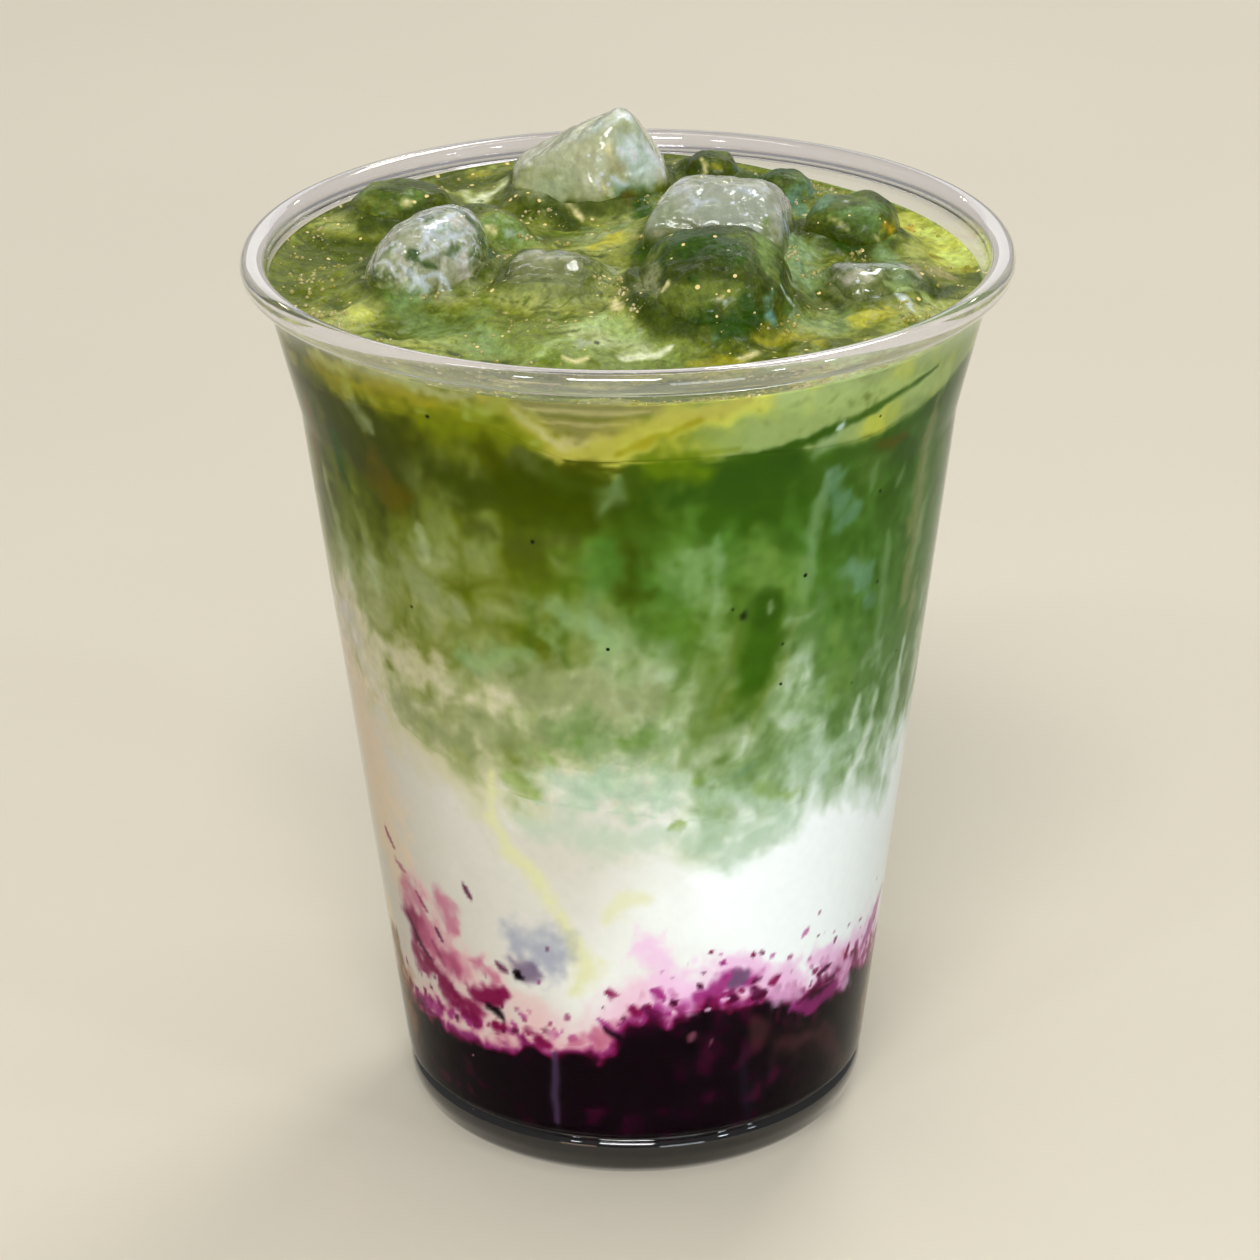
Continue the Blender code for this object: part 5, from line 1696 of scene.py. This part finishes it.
@dataclass(frozen=True)
class Lump:
    """One rounded block of ice: six block faces and some extra facets, as in its solid.

    A facet is (azimuth from +X, elevation, reach), in degrees and millimetres. The lift makes its
    paint lighter, to make up for the light that passes through.
    """

    name: str
    centre: tuple[float, float, float]
    half_sizes: tuple[float, float, float]
    turn: float
    sharpness: float
    kind: IceKind
    facets: tuple[tuple[float, float, float], ...] = ()
    lift: float = 1.0

    def reach(self, directions: np.ndarray) -> np.ndarray:
        """Distance from the centre to the surface along each direction, before the turn."""
        return np.sum(self.shares(directions)**self.sharpness, axis=1) ** (-1.0 / self.sharpness)

    def shares(self, directions: np.ndarray) -> np.ndarray:
        """How squarely each direction meets each face, as a share of one over its reach.

        Args:
            directions: unit vectors, before the turn.

        Returns:
            One row for each direction, with one share for each face.
        """
        normals, reaches = [], []
        for axis, half in enumerate(self.half_sizes):
            for sign in (-1.0, 1.0):
                normal = np.zeros(3)
                normal[axis] = sign
                normals.append(normal)
                reaches.append(half)
        for azimuth, elevation, distance in self.facets:
            level = math.cos(math.radians(elevation))
            angle = math.radians(azimuth)
            height = math.sin(math.radians(elevation))
            normals.append(np.array((math.cos(angle) * level, math.sin(angle) * level, height)))
            reaches.append(distance)
        return np.maximum(directions @ np.array(normals).T / np.array(reaches), 0.0)

    def edges(self, places: np.ndarray) -> np.ndarray:
        """Where the edges between two faces of the block run.

        Args:
            places: points of the lump's skin in millimetres.

        Returns:
            1 on the edges, 0 on the faces.
        """
        away = self.turned(places - np.array(self.centre), backwards=True)
        directions = away / np.linalg.norm(away, axis=1)[:, None]
        shares = np.sort(self.shares(directions), axis=1)
        return 1.0 - smooth_step(shares[:, -1] / np.maximum(shares[:, -2], TINY), 1.0, EDGE_LEAD)

    def turned(self, vectors: np.ndarray, backwards: bool = False) -> np.ndarray:
        """Vectors turned about the upright axis by the lump's turn.

        Args:
            vectors: one a row.
            backwards: whether they are turned back instead.

        Returns:
            The turned vectors.
        """
        angle = math.radians(-self.turn if backwards else self.turn)
        matrix = np.array((
            (math.cos(angle), -math.sin(angle), 0.0),
            (math.sin(angle), math.cos(angle), 0.0),
            (0.0, 0.0, 1.0),
        ))
        return vectors @ matrix.T

    def clearance(self, places: np.ndarray) -> np.ndarray:
        """Level distance of each place from the lump's side at its waist.

        Args:
            places: points in millimetres.

        Returns:
            Distances in millimetres, negative inside.
        """
        away = places - np.array(self.centre)
        away[:, 2] = 0.0
        distance = np.linalg.norm(away, axis=1)
        level = self.turned(away / np.maximum(distance, TINY)[:, None], backwards=True)
        return distance - self.reach(level)


LUMPS = (
    Lump("ice_peak", (-3.4, 30.6, 113.2), (11.9, 8.4, 16.0), 0, 17.0, IceKind.FROSTED,
         ((176, 57, 10.9), (0, 64, 14.6), (4, 28, 10.2), (0, 0, 9.4), (-58, 14, 8.2), (-122, 28, 9.6),
          (90, 42, 10.6), (0, -90, 9.2)), 1.2),
    Lump("ice_left", (-25.4, -3.4, 115.0), (9.0, 8.4, 9.4), 12, 3.2, IceKind.CLEAR,
         ((-50, 15, 8.2), (150, 35, 8.8)), 1.1),
    Lump("ice_back_pale", (11.8, 8.8, 114.9), (9.3, 7.6, 9.2), -8, 11.0, IceKind.FROSTED,
         ((-90, 55, 9.0), (172, 38, 10.0), (0, 32, 10.2), (90, 50, 9.4))),
    Lump("ice_front", (11.4, -13.0, 113.2), (11.6, 10.2, 10.6), 6, 3.4, IceKind.COATED,
         ((-20, 25, 10.6), (-150, 40, 10.8))),
    Lump("ice_right_dome", (28.8, 13.8, 112.9), (6.5, 6.6, 7.0), 0, 2.8, IceKind.COATED),
    Lump("ice_right_small", (31.6, -6.2, 112.2), (6.2, 5.8, 6.0), 20, 5.0, IceKind.CLEAR,
         ((-70, 35, 5.4), (60, 50, 5.8)), 1.1),
    Lump("ice_centre", (-10.2, -6.8, 112.4), (5.8, 6.4, 6.8), -15, 4.2, IceKind.FROSTED, ((-90, 45, 6.2),)),
    Lump("ice_left_back", (-29.6, 22.6, 112.8), (6.8, 6.0, 6.6), 25, 3.0, IceKind.COATED),
    Lump("ice_back", (11.4, 36.8, 113.0), (4.1, 4.3, 5.8), 0, 2.8, IceKind.COATED),
    Lump("ice_back_right", (20.8, 30.4, 112.6), (3.9, 4.2, 5.6), 0, 2.8, IceKind.COATED),
    Lump("ice_left_inner", (-18.6, 13.4, 113.0), (5.0, 5.2, 5.8), 30, 3.0, IceKind.COATED),
)


@dataclass
class FoamTop:
    """The foam: a band at the wall and a lumpy upper face that climbs the ice."""

    segments: int = 720
    rings: int = 108
    row_height: float = 0.4
    skirt_height: float = 2.0
    skirt_reach: float = 2.2
    wall_climb: float = 0.6
    side_depth: float = 0.05
    swell: float = 2.0
    ripple: float = 0.5
    froth: float = 0.32
    root_shares: tuple[float, ...] = (0.5, 0.8, 0.95)
    calm_power: float = 14.0
    climb_reach: float = 0.8
    bubbly_edge: tuple[float, float] = (36.0, 41.5)
    bubbles_end: tuple[float, float] = (43.6, 44.6)
    bubbly_front: tuple[float, float] = (8.0, 30.0)
    painter: Painter = field(
        default_factory=lambda: Painter(WALL_MARKS + WINDOW_MARKS + TOP_MARKS, PAINT_SEED))
    grain: Grain = field(default_factory=lambda: Grain(23))

    def relief(self, places: np.ndarray) -> np.ndarray:
        """Height of swells, of froth and of skirts round the ice, above the plain face.

        Args:
            places: points of the plain face in millimetres.

        Returns:
            One height for each point.
        """
        seen = places + 3.0 * self.grain.push(places, 10.0)
        swell = self.grain.layered(seen, 9.0, 2)
        ripple = self.grain.layered(seen + 40.0, 3.6, 2)
        froth = self.grain.layered(places + 8.0, 1.7, 3)
        rise = self.swell * swell + self.ripple * ripple + self.froth * froth
        skirt = np.zeros(len(places))
        for lump in LUMPS:
            near = np.exp(-np.maximum(lump.clearance(places), 0.0) / self.skirt_reach)
            skirt = np.maximum(skirt, self.skirt_height * near)
        return rise + skirt

    def coat(self, places: np.ndarray, side: np.ndarray, lift: np.ndarray, drink: LayeredDrink) -> np.ndarray:
        """Base colours: painted shade in the hollows and round the feet of the ice, painted light on the
        swells, random tone through both, and the drink's own side at the wall.

        Args:
            places: points of the skin in millimetres.
            side: 1 where the skin lies against the wall, else 0.
            lift: height of each point above the plain face.
            drink: the drink whose colours the side continues.

        Returns:
            One colour for each point, as shown on a screen.
        """
        seen = places + 3.6 * self.grain.push(places, 10.0) + 1.5 * self.grain.push(places, 3.4)
        flat = seen * np.array((0.7, 1.3, 1.0))
        swirl = self.grain.layered(flat, 8.0, 4)
        fine = self.grain.layered(flat + 20.0, 2.0, 3)
        # lift lightens the swells and darkens the hollows: painted light and shade
        tone = 0.9 * swirl + 0.35 * fine + 0.4 * lift
        colours = Ramp.FOAM.colours(1.3 * tone)
        warm = smooth_step(self.grain.layered(seen + 70.0, 12.0, 2), -0.1, 0.35)
        colours = blend(colours, Tint.OLIVE.screen, 0.5 * warm)
        line = np.abs(self.grain.layered(flat + 90.0, 6.0, 4))
        colours = blend(colours, Tint.FROTH_PALE.screen, 0.45 * (1.0 - smooth_step(line, 0.0, 0.08)))
        line = np.abs(self.grain.layered(flat - 35.0, 5.0, 4))
        colours = blend(colours, Tint.DEEP_OLIVE.screen, 0.6 * (1.0 - smooth_step(line, 0.0, 0.08)))
        # painted shade in the hollows
        colours = blend(colours, Tint.OLIVE_MID.screen, 0.6 * smooth_step(-lift - 0.8 * swirl, 0.1, 0.9))
        # painted shade round the foot of each lump
        for lump in LUMPS:
            shade = np.exp(-np.maximum(lump.clearance(places) + 1.6 * swirl, 0.0) / 1.5)
            colours = blend(colours, Tint.DEEP_OLIVE.screen, 0.8 * shade)
        return blend(colours, drink.coat(places), side)

    def build(self, drink: LayeredDrink) -> bpy.types.Object:
        """Make the foam's skin, painted and dressed.

        Args:
            drink: the drink whose colours the side continues.

        Returns:
            The piece.
        """
        azimuth = -180.0 + 360.0 * np.arange(self.segments) / self.segments
        angle = np.radians(azimuth)
        low = around(MATCHA_TOP, azimuth)
        high = foam_top(azimuth, 1.0) + self.wall_climb

        def ring(radius: np.ndarray, height: np.ndarray) -> np.ndarray:
            """A ring of points, one for each azimuth."""
            return np.stack((radius * np.sin(angle), -radius * np.cos(angle), height), axis=1)

        rows, lifts = [], []
        for share in self.root_shares:
            root = FOAM_ROOT_Z + (low - FOAM_ROOT_Z) * share**FOAM_ROOT_POWER
            rows.append(ring(share * drink_radius(low), root))
        band = max(2, int(np.max(high - low) / self.row_height))
        for share in np.linspace(0.0, 1.0, band + 1):
            height = low + (high - low) * share
            rows.append(ring(drink_radius(height), height))
        side_rows = len(rows)
        lifts.append(np.zeros(side_rows * self.segments))
        for step in range(1, self.rings):
            share = 1.0 - step / self.rings
            spots = ring(share * drink_radius(high), foam_top(azimuth, share))
            calm = 1.0 - share**self.calm_power
            climb = self.wall_climb * np.exp(-(1.0 - share) * MEAN_RADIUS / self.climb_reach)
            lift = self.relief(spots) * calm
            spots[:, 2] += lift + climb
            rows.append(spots)
            lifts.append(lift)
        bottom = np.array((0.0, 0.0, FOAM_ROOT_Z))
        top = np.array((0.0, 0.0, float(rows[-1][:, 2].mean())))
        places, faces = revolved(np.array(rows), bottom, top)
        item = mesh_object("matcha_foam", places, faces)
        spots, normals = vertex_data(item)
        side = np.zeros(len(spots))
        side[: side_rows * self.segments] = 1.0
        lift = np.concatenate(lifts + [np.zeros(2)])
        store_tint(item, self.painter.paint(spots, normals, self.coat(spots, side, lift, drink)))
        store_share(item, "bubbly", self.bubbly(spots) * (1.0 - side))
        # the foam's gold flecks are painted glints of light
        wear(item, DrinkFinish("foam_top", roughness=0.34, specular=0.22, coat=0.06, mottle_scale=1100.0,
                               mottle_amount=1.3, fleck=Tint.GOLD_GLINT, fleck_scale=1300.0, fleck_size=0.42,
                               fleck_share=0.05, relief_scale=1000.0, relief_depth=0.45).material())
        side_finish = DrinkFinish("foam_side", specular=0.0, mottle_amount=0.3, fleck=Tint.OLIVE_DARK,
                                  fleck_share=0.05, fleck_size=0.12)
        item.data.materials.append(side_finish.material())
        for face in item.data.polygons:
            place = np.array(face.center) / MM
            if math.hypot(place[0], place[1]) > float(drink_radius(place[2])) - self.side_depth:
                face.material_index = 1
        place_piece(item, "foam", "foam_layer")
        return item

    def bubbly(self, places: np.ndarray) -> np.ndarray:
        """How thickly bubbles lie: at the front by the wall, at the feet of the ice and in clusters.

        Args:
            places: points of the foam in millimetres.

        Returns:
            Shares from 0 to 1.
        """
        radius = np.hypot(places[:, 0], places[:, 1])
        clear = 1.0 - smooth_step(radius, *self.bubbles_end)
        edge = smooth_step(radius, *self.bubbly_edge) * clear
        front = smooth_step(-places[:, 1], *self.bubbly_front)
        cluster = smooth_step(self.grain.layered(places + 15.0, 5.0, 3), 0.12, 0.4)
        share = edge * (0.25 + 0.75 * front) * (0.3 + 0.7 * cluster) + 0.25 * cluster**2
        for lump in LUMPS:
            near = lump.clearance(places)
            share += 0.6 * cluster * np.exp(-(((near - 0.8) / 0.9) ** 2))
        return np.clip(share, 0.0, 1.0) * clear


@dataclass
class IceHeap:
    """The lumps of ice that stand in the foam, some clear and some coated with matcha."""

    fine_levels: int = 6
    coarse_levels: int = 5
    big_half_size: float = 8.0
    cracks: tuple[tuple[float, float], ...] = ((55.0, 0.05), (95.0, 0.03))
    crackle: float = 0.95
    painter: Painter = field(default_factory=lambda: Painter(TOP_MARKS, PAINT_SEED))
    grain: Grain = field(default_factory=lambda: Grain(31))

    def coat(self, lump: Lump, places: np.ndarray) -> np.ndarray:
        """Base colours of a lump: frosty or green, with foam at its foot.

        Args:
            lump: the lump.
            places: points of its skin in millimetres.

        Returns:
            One colour for each point, as shown on a screen.
        """
        seen = places + 2.6 * self.grain.push(places, 6.0) + 0.9 * self.grain.push(places, 2.2)
        cloud = self.grain.layered(seen, 5.5, 5)
        fine = self.grain.layered(seen + 30.0, 1.3, 3)
        if lump.kind is IceKind.COATED:
            tone = 1.2 * cloud + 0.35 * fine
            colours = blend(Tint.DEEP_OLIVE.screen, Tint.LEAF_OLIVE.screen, smooth_step(tone, -0.35, 0.45))
            colours = blend(colours, Tint.SHADE_GREEN.screen, 0.6 * smooth_step(fine + 0.5 * cloud, 0.1, 0.5))
            colours = blend(colours, Tint.OLIVE_DEEP.screen, 0.75 * smooth_step(-tone, 0.12, 0.5))
        else:
            colours = blend(Tint.FROST_SHADE.screen, Tint.FROST.screen, smooth_step(cloud, -0.35, 0.25))
            colours = blend(colours, Tint.OLIVE_GREY.screen, 0.45 * smooth_step(-fine - cloud, 0.15, 0.6))
            colours = blend(colours, Tint.ICE_WARM.screen, 0.7 * smooth_step(fine + 0.5 * cloud, 0.2, 0.5))
            edge = lump.edges(places) * smooth_step(fine + 0.8 * cloud, -0.45, 0.1)
            colours = blend(colours, Tint.STAR_WHITE.screen, 0.7 * edge)
        if lump.kind is IceKind.CLEAR:
            depth = -cloud - 0.5 * fine
            colours = blend(colours, Tint.ICE_DEPTH.screen, 0.9 * smooth_step(depth, -0.45, 0.05))
            depth = -cloud - 0.6 * fine
            colours = blend(colours, Tint.SHADE_GREEN.screen, 0.85 * smooth_step(depth, 0.02, 0.26))
            frost = smooth_step(self.grain.layered(places - 25.0, 0.9, 3), 0.08, 0.3)
            colours = blend(colours, Tint.FRACTURE.screen, 0.6 * frost)
            for shift, width in self.cracks:
                line = np.abs(self.grain.layered(places + 0.3 * (seen - places) + shift, 4.0, 2))
                crack = 1.0 - smooth_step(line, 0.4 * width, width)
                colours = blend(colours, Tint.FRACTURE.screen, self.crackle * crack)
        azimuth = np.degrees(np.arctan2(places[:, 0], -places[:, 1]))
        share = np.hypot(places[:, 0], places[:, 1]) / drink_radius(FOAM_MIDDLE_Z)
        above = places[:, 2] - foam_top(azimuth, share)
        foot = 1.0 - smooth_step(above + 3.4 * cloud + 1.5 * fine, 1.4, 6.0)
        foam = blend(Tint.FOAM_LOW.screen, Tint.FOAM_MID.screen, smooth_step(fine + cloud, -0.3, 0.4))
        return blend(colours, foam, 0.85 * foot)

    def make_lump(self, lump: Lump) -> bpy.types.Object:
        """One lump's skin, painted.

        Args:
            lump: the lump.

        Returns:
            The piece.
        """
        is_big = max(lump.half_sizes) > self.big_half_size
        shape = bmesh.new()
        levels = self.fine_levels if is_big else self.coarse_levels
        bmesh.ops.create_icosphere(shape, subdivisions=levels, radius=1.0)
        directions = np.array([vertex.co for vertex in shape.verts])
        directions /= np.linalg.norm(directions, axis=1)[:, None]
        reach = lump.reach(directions)
        centre = np.array(lump.centre)
        places = lump.turned(directions * reach[:, None]) + centre
        bumps = 0.5 * self.grain.layered(places, 4.0, 3) + 0.12 * self.grain.layered(places, 1.2, 2)
        if lump.kind is IceKind.COATED:
            fold = 0.3 - np.abs(self.grain.layered(places + 50.0, 5.2, 2))
            bumps = 1.2 * bumps + 0.8 * fold
        else:
            ridge = np.abs(self.grain.layered(places + 9.0, 5.5, 2))
            chips = self.grain.layered(places - 14.0, 1.1, 2)
            bumps = 0.5 * bumps - 0.3 * np.exp(-ridge / 0.05) + 0.14 * chips
        places = lump.turned(directions * (reach + bumps)[:, None]) + centre
        for vertex, place in zip(shape.verts, places):
            vertex.co = Vector(place) * MM
        mesh = bpy.data.meshes.new(lump.name + "_skin")
        shape.to_mesh(mesh)
        shape.free()
        mesh.shade_smooth()
        item = bpy.data.objects.new(lump.name + "_skin", mesh)
        bpy.context.scene.collection.objects.link(item)
        spots, normals = vertex_data(item)
        store_tint(item, self.painter.paint(spots, normals, self.coat(lump, spots)) * lump.lift)
        return item

    def build(self) -> list[bpy.types.Object]:
        """Make and dress every lump."""
        finishes = {
            IceKind.CLEAR: DrinkFinish("clear_ice", roughness=0.06, specular=0.7, coat=1.0, clearness=0.36,
                                       mottle_scale=1000.0, mottle_amount=0.9, fleck=Tint.FRACTURE,
                                       fleck_scale=1300.0, fleck_size=0.4, fleck_share=0.1,
                                       relief_scale=700.0, relief_depth=0.55).material(),
            IceKind.FROSTED: DrinkFinish("frosted_ice", roughness=0.14, coat=0.7, clearness=0.24,
                                         mottle_scale=900.0, mottle_amount=0.6, fleck=Tint.FRACTURE,
                                         fleck_scale=1200.0, fleck_size=0.4, fleck_share=0.06,
                                         relief_scale=600.0, relief_depth=0.4).material(),
            # the coated ice's gold flecks are painted glints of light
            IceKind.COATED: DrinkFinish("coated_ice", roughness=0.28, specular=0.25, coat=0.1,
                                        mottle_scale=1100.0, mottle_amount=1.5, fleck=Tint.GOLD_GLINT,
                                        fleck_scale=1300.0, fleck_size=0.42, fleck_share=0.07,
                                        relief_scale=1000.0, relief_depth=0.5).material(),
        }
        made = []
        for lump in LUMPS:
            item = self.make_lump(lump)
            wear(item, finishes[lump.kind])
            place_piece(item, lump.kind.slot, lump.name)
            made.append(item)
        return made


def strewing_tree() -> bpy.types.NodeTree:
    """Geometry nodes that strew round grains over a surface, thickly where an attribute is high.

    Returns:
        The node group, built once, with named inputs.
    """
    name = "strewn_grains"
    if name in bpy.data.node_groups:
        return bpy.data.node_groups[name]
    tree = bpy.data.node_groups.new(name, "GeometryNodeTree")
    face = tree.interface
    face.new_socket("Surface", in_out="INPUT", socket_type="NodeSocketGeometry")
    face.new_socket("Mask", in_out="INPUT", socket_type="NodeSocketString")
    for label in ("Density", "Spacing", "Smallest", "Largest"):
        face.new_socket(label, in_out="INPUT", socket_type="NodeSocketFloat")
    face.new_socket("Seed", in_out="INPUT", socket_type="NodeSocketInt")
    face.new_socket("Finish", in_out="INPUT", socket_type="NodeSocketMaterial")
    face.new_socket("Grains", in_out="OUTPUT", socket_type="NodeSocketGeometry")
    nodes, links = tree.nodes, tree.links
    given = nodes.new("NodeGroupInput")
    result = nodes.new("NodeGroupOutput")

    mask = nodes.new("GeometryNodeInputNamedAttribute")
    mask.data_type = "FLOAT"
    links.new(given.outputs["Mask"], mask.inputs["Name"])
    points = nodes.new("GeometryNodeDistributePointsOnFaces")
    points.distribute_method = "POISSON"
    links.new(given.outputs["Surface"], points.inputs["Mesh"])
    links.new(given.outputs["Spacing"], points.inputs["Distance Min"])
    links.new(given.outputs["Density"], points.inputs["Density Max"])
    links.new(mask.outputs["Attribute"], points.inputs["Density Factor"])
    links.new(given.outputs["Seed"], points.inputs["Seed"])

    draw = nodes.new("FunctionNodeRandomValue")
    draw.data_type = "FLOAT"
    links.new(given.outputs["Seed"], draw.inputs["Seed"])
    rare = nodes.new("ShaderNodeMath")
    rare.operation = "POWER"
    rare.inputs[1].default_value = 3.0
    links.new(draw.outputs[1], rare.inputs[0])
    size = nodes.new("ShaderNodeMapRange")
    links.new(rare.outputs[0], size.inputs["Value"])
    links.new(given.outputs["Smallest"], size.inputs["To Min"])
    links.new(given.outputs["Largest"], size.inputs["To Max"])

    ball = nodes.new("GeometryNodeMeshIcoSphere")
    ball.inputs["Radius"].default_value = 1.0
    ball.inputs["Subdivisions"].default_value = 1
    smooth = nodes.new("GeometryNodeSetShadeSmooth")
    links.new(ball.outputs["Mesh"], smooth.inputs["Geometry"])
    place = nodes.new("GeometryNodeInstanceOnPoints")
    links.new(points.outputs["Points"], place.inputs["Points"])
    links.new(smooth.outputs["Geometry"], place.inputs["Instance"])
    links.new(size.outputs["Result"], place.inputs["Scale"])
    real = nodes.new("GeometryNodeRealizeInstances")
    links.new(place.outputs["Instances"], real.inputs["Geometry"])
    dress = nodes.new("GeometryNodeSetMaterial")
    links.new(real.outputs["Geometry"], dress.inputs["Geometry"])
    links.new(given.outputs["Finish"], dress.inputs["Material"])
    links.new(dress.outputs["Geometry"], result.inputs["Grains"])
    return tree


@dataclass(frozen=True)
class Strewing:
    """Round grains, such as bubbles, strewn over a surface where its attribute is high."""

    name: str
    mask: str
    slot: str
    per_square_millimetre: float
    spacing: float
    smallest: float
    largest: float
    seed: int

    def build(self, surface: bpy.types.Object, finish: bpy.types.Material) -> bpy.types.Object:
        """Strew the grains and turn them into a mesh of their own.

        Args:
            surface: the finished piece that they lie on.
            finish: their material.

        Returns:
            The new piece.
        """
        item = bpy.data.objects.new(self.name, surface.data.copy())
        bpy.context.scene.collection.objects.link(item)
        tree = strewing_tree()
        entries = tree.interface.items_tree
        sockets = {entry.name: entry.identifier for entry in entries if entry.in_out == "INPUT"}
        modifier = item.modifiers.new("strewing", "NODES")
        modifier.node_group = tree
        modifier[sockets["Mask"]] = self.mask
        modifier[sockets["Density"]] = self.per_square_millimetre / MM**2
        modifier[sockets["Spacing"]] = self.spacing * MM
        modifier[sockets["Smallest"]] = self.smallest * MM
        modifier[sockets["Largest"]] = self.largest * MM
        modifier[sockets["Seed"]] = self.seed
        modifier[sockets["Finish"]] = finish
        shown = item.evaluated_get(bpy.context.evaluated_depsgraph_get())
        mesh = bpy.data.meshes.new_from_object(shown)
        item.modifiers.remove(modifier)
        item.data = mesh
        place_piece(item, self.slot)
        return item


@dataclass
class Studio:
    """Pale floor, soft light and the camera at the photograph's angle."""

    floor_size: float = 12.0
    floor_tint: tuple[int, int, int] = (219, 211, 192)
    floor_mottle: int = 2
    aim: tuple[float, float, float] = (0.0, 0.0, 0.08)
    camera_place: tuple[float, float, float] = (0.0, -0.5527, 0.305)
    camera_pitch: float = 0.409
    camera_yaw: float = -0.0003
    camera_roll: float = -0.0095
    focal_length: float = 4600.0 / 1260.0 * 36.0
    surround: float = 0.3

    def floor(self) -> bpy.types.Object:
        """A pale floor with a very faint mottle."""
        half = self.floor_size / 2.0 / MM
        corners = np.array(((-half, -half, 0.0), (half, -half, 0.0), (half, half, 0.0), (-half, half, 0.0)))
        item = mesh_object("studio_floor", corners, [(0, 1, 2, 3)])
        paler = tuple(min(255, part + self.floor_mottle) for part in self.floor_tint)
        finish = GrainFinish("pale_floor", self.floor_tint, paler, roughness=0.9, scale=6.0)
        wear(item, finish.material())
        return item

    def lamp(self, name: str, place: tuple[float, float, float], size: tuple[float, float], power: float,
             colour: tuple[float, float, float] = (1.0, 1.0, 1.0)) -> None:
        """A soft rectangular light aimed at the drink.

        Args:
            name: name of the light.
            place: its middle in metres.
            size: its width and height in metres.
            power: its power in watts.
            colour: its light's colour.
        """
        data = bpy.data.lights.new(name, "AREA")
        data.shape = "RECTANGLE"
        data.size, data.size_y = size
        data.energy = power
        data.color = colour
        item = bpy.data.objects.new(name, data)
        run = Vector(self.aim) - Vector(place)
        item.location = place
        item.rotation_euler = run.to_track_quat("-Z", "Y").to_euler()
        bpy.context.scene.collection.objects.link(item)

    def light(self) -> None:
        """A pale surround, a broad light in front, one behind and small ones that glint."""
        world = bpy.data.worlds.new("pale_surround")
        world.use_nodes = True
        sky = world.node_tree.nodes["Background"]
        sky.inputs["Color"].default_value = (1.0, 0.99, 0.97, 1.0)
        sky.inputs["Strength"].default_value = self.surround
        bpy.context.scene.world = world
        self.lamp("front_key", (-0.1, -1.05, 1.3), (0.6, 0.4), 13.0)
        self.lamp("back_key", (0.35, 0.75, 1.2), (0.35, 0.35), 5.0)
        self.lamp("back_card", (0.0, 1.5, 0.72), (1.6, 0.5), 2.2, (0.92, 0.94, 1.0))
        self.lamp("high_strip", (0.0, 0.1, 1.5), (1.5, 0.07), 2.5, (0.94, 0.95, 1.0))
        self.lamp("warm_card", (-0.75, -1.45, 0.16), (0.5, 0.4), 1.6, (1.0, 0.66, 0.5))
        self.lamp("cool_card", (0.6, -1.5, 0.25), (0.6, 0.5), 3.5, (0.86, 0.93, 1.0))
        self.lamp("left_window", (-0.55, -0.8, 0.95), (0.09, 0.09), 1.1, (0.88, 0.93, 1.0))
        self.lamp("right_window", (0.85, -0.75, 1.0), (0.09, 0.09), 1.1, (0.82, 0.91, 1.0))
        self.lamp("far_window", (1.05, -0.45, 1.0), (0.07, 0.07), 0.6, (0.82, 0.91, 1.0))
        self.lamp("back_lamp_left", (-0.6, 1.3, 0.95), (0.05, 0.05), 0.35, (1.0, 0.86, 0.6))
        self.lamp("back_lamp_middle", (0.1, 1.4, 1.1), (0.05, 0.05), 0.35, (1.0, 0.88, 0.65))
        self.lamp("back_lamp_right", (0.7, 1.2, 0.95), (0.05, 0.05), 0.35, (1.0, 0.86, 0.6))

    def camera(self) -> None:
        """The camera, upright but for a slight roll."""
        pitch, yaw, roll = self.camera_pitch, self.camera_yaw, self.camera_roll
        forward = Vector((math.sin(yaw) * math.cos(pitch), math.cos(yaw) * math.cos(pitch), -math.sin(pitch)))
        right = forward.cross(Vector((0.0, 0.0, 1.0))).normalized()
        up = right.cross(forward)
        across = math.cos(roll) * right + math.sin(roll) * up
        upwards = -math.sin(roll) * right + math.cos(roll) * up
        basis = Matrix((across, upwards, -forward)).transposed().to_4x4()
        basis.translation = Vector(self.camera_place)
        data = bpy.data.cameras.new("photo_camera")
        data.lens = self.focal_length
        data.clip_start = 0.01
        item = bpy.data.objects.new("photo_camera", data)
        item.matrix_world = basis
        bpy.context.scene.collection.objects.link(item)
        bpy.context.scene.camera = item

    def build(self) -> None:
        """Set the stage."""
        self.floor()
        self.light()
        self.camera()
        bpy.context.scene.view_settings.view_transform = "Standard"


def main() -> None:
    """Build the tumbler, the drink, its ice and the stage, in order."""
    logging.basicConfig(level=logging.INFO, format="%(name)s: %(message)s")
    Studio().build()
    Tumbler().build()
    drink = LayeredDrink()
    drink.build()
    foam = FoamTop().build(drink)
    IceHeap().build()
    bubbles = Strewing("foam_bubbles", "bubbly", "foam", 5.0, 0.2, 0.07, 0.42, 4)
    bubbles.build(foam, BubbleFinish().material())


if __name__ == "__main__":
    main()
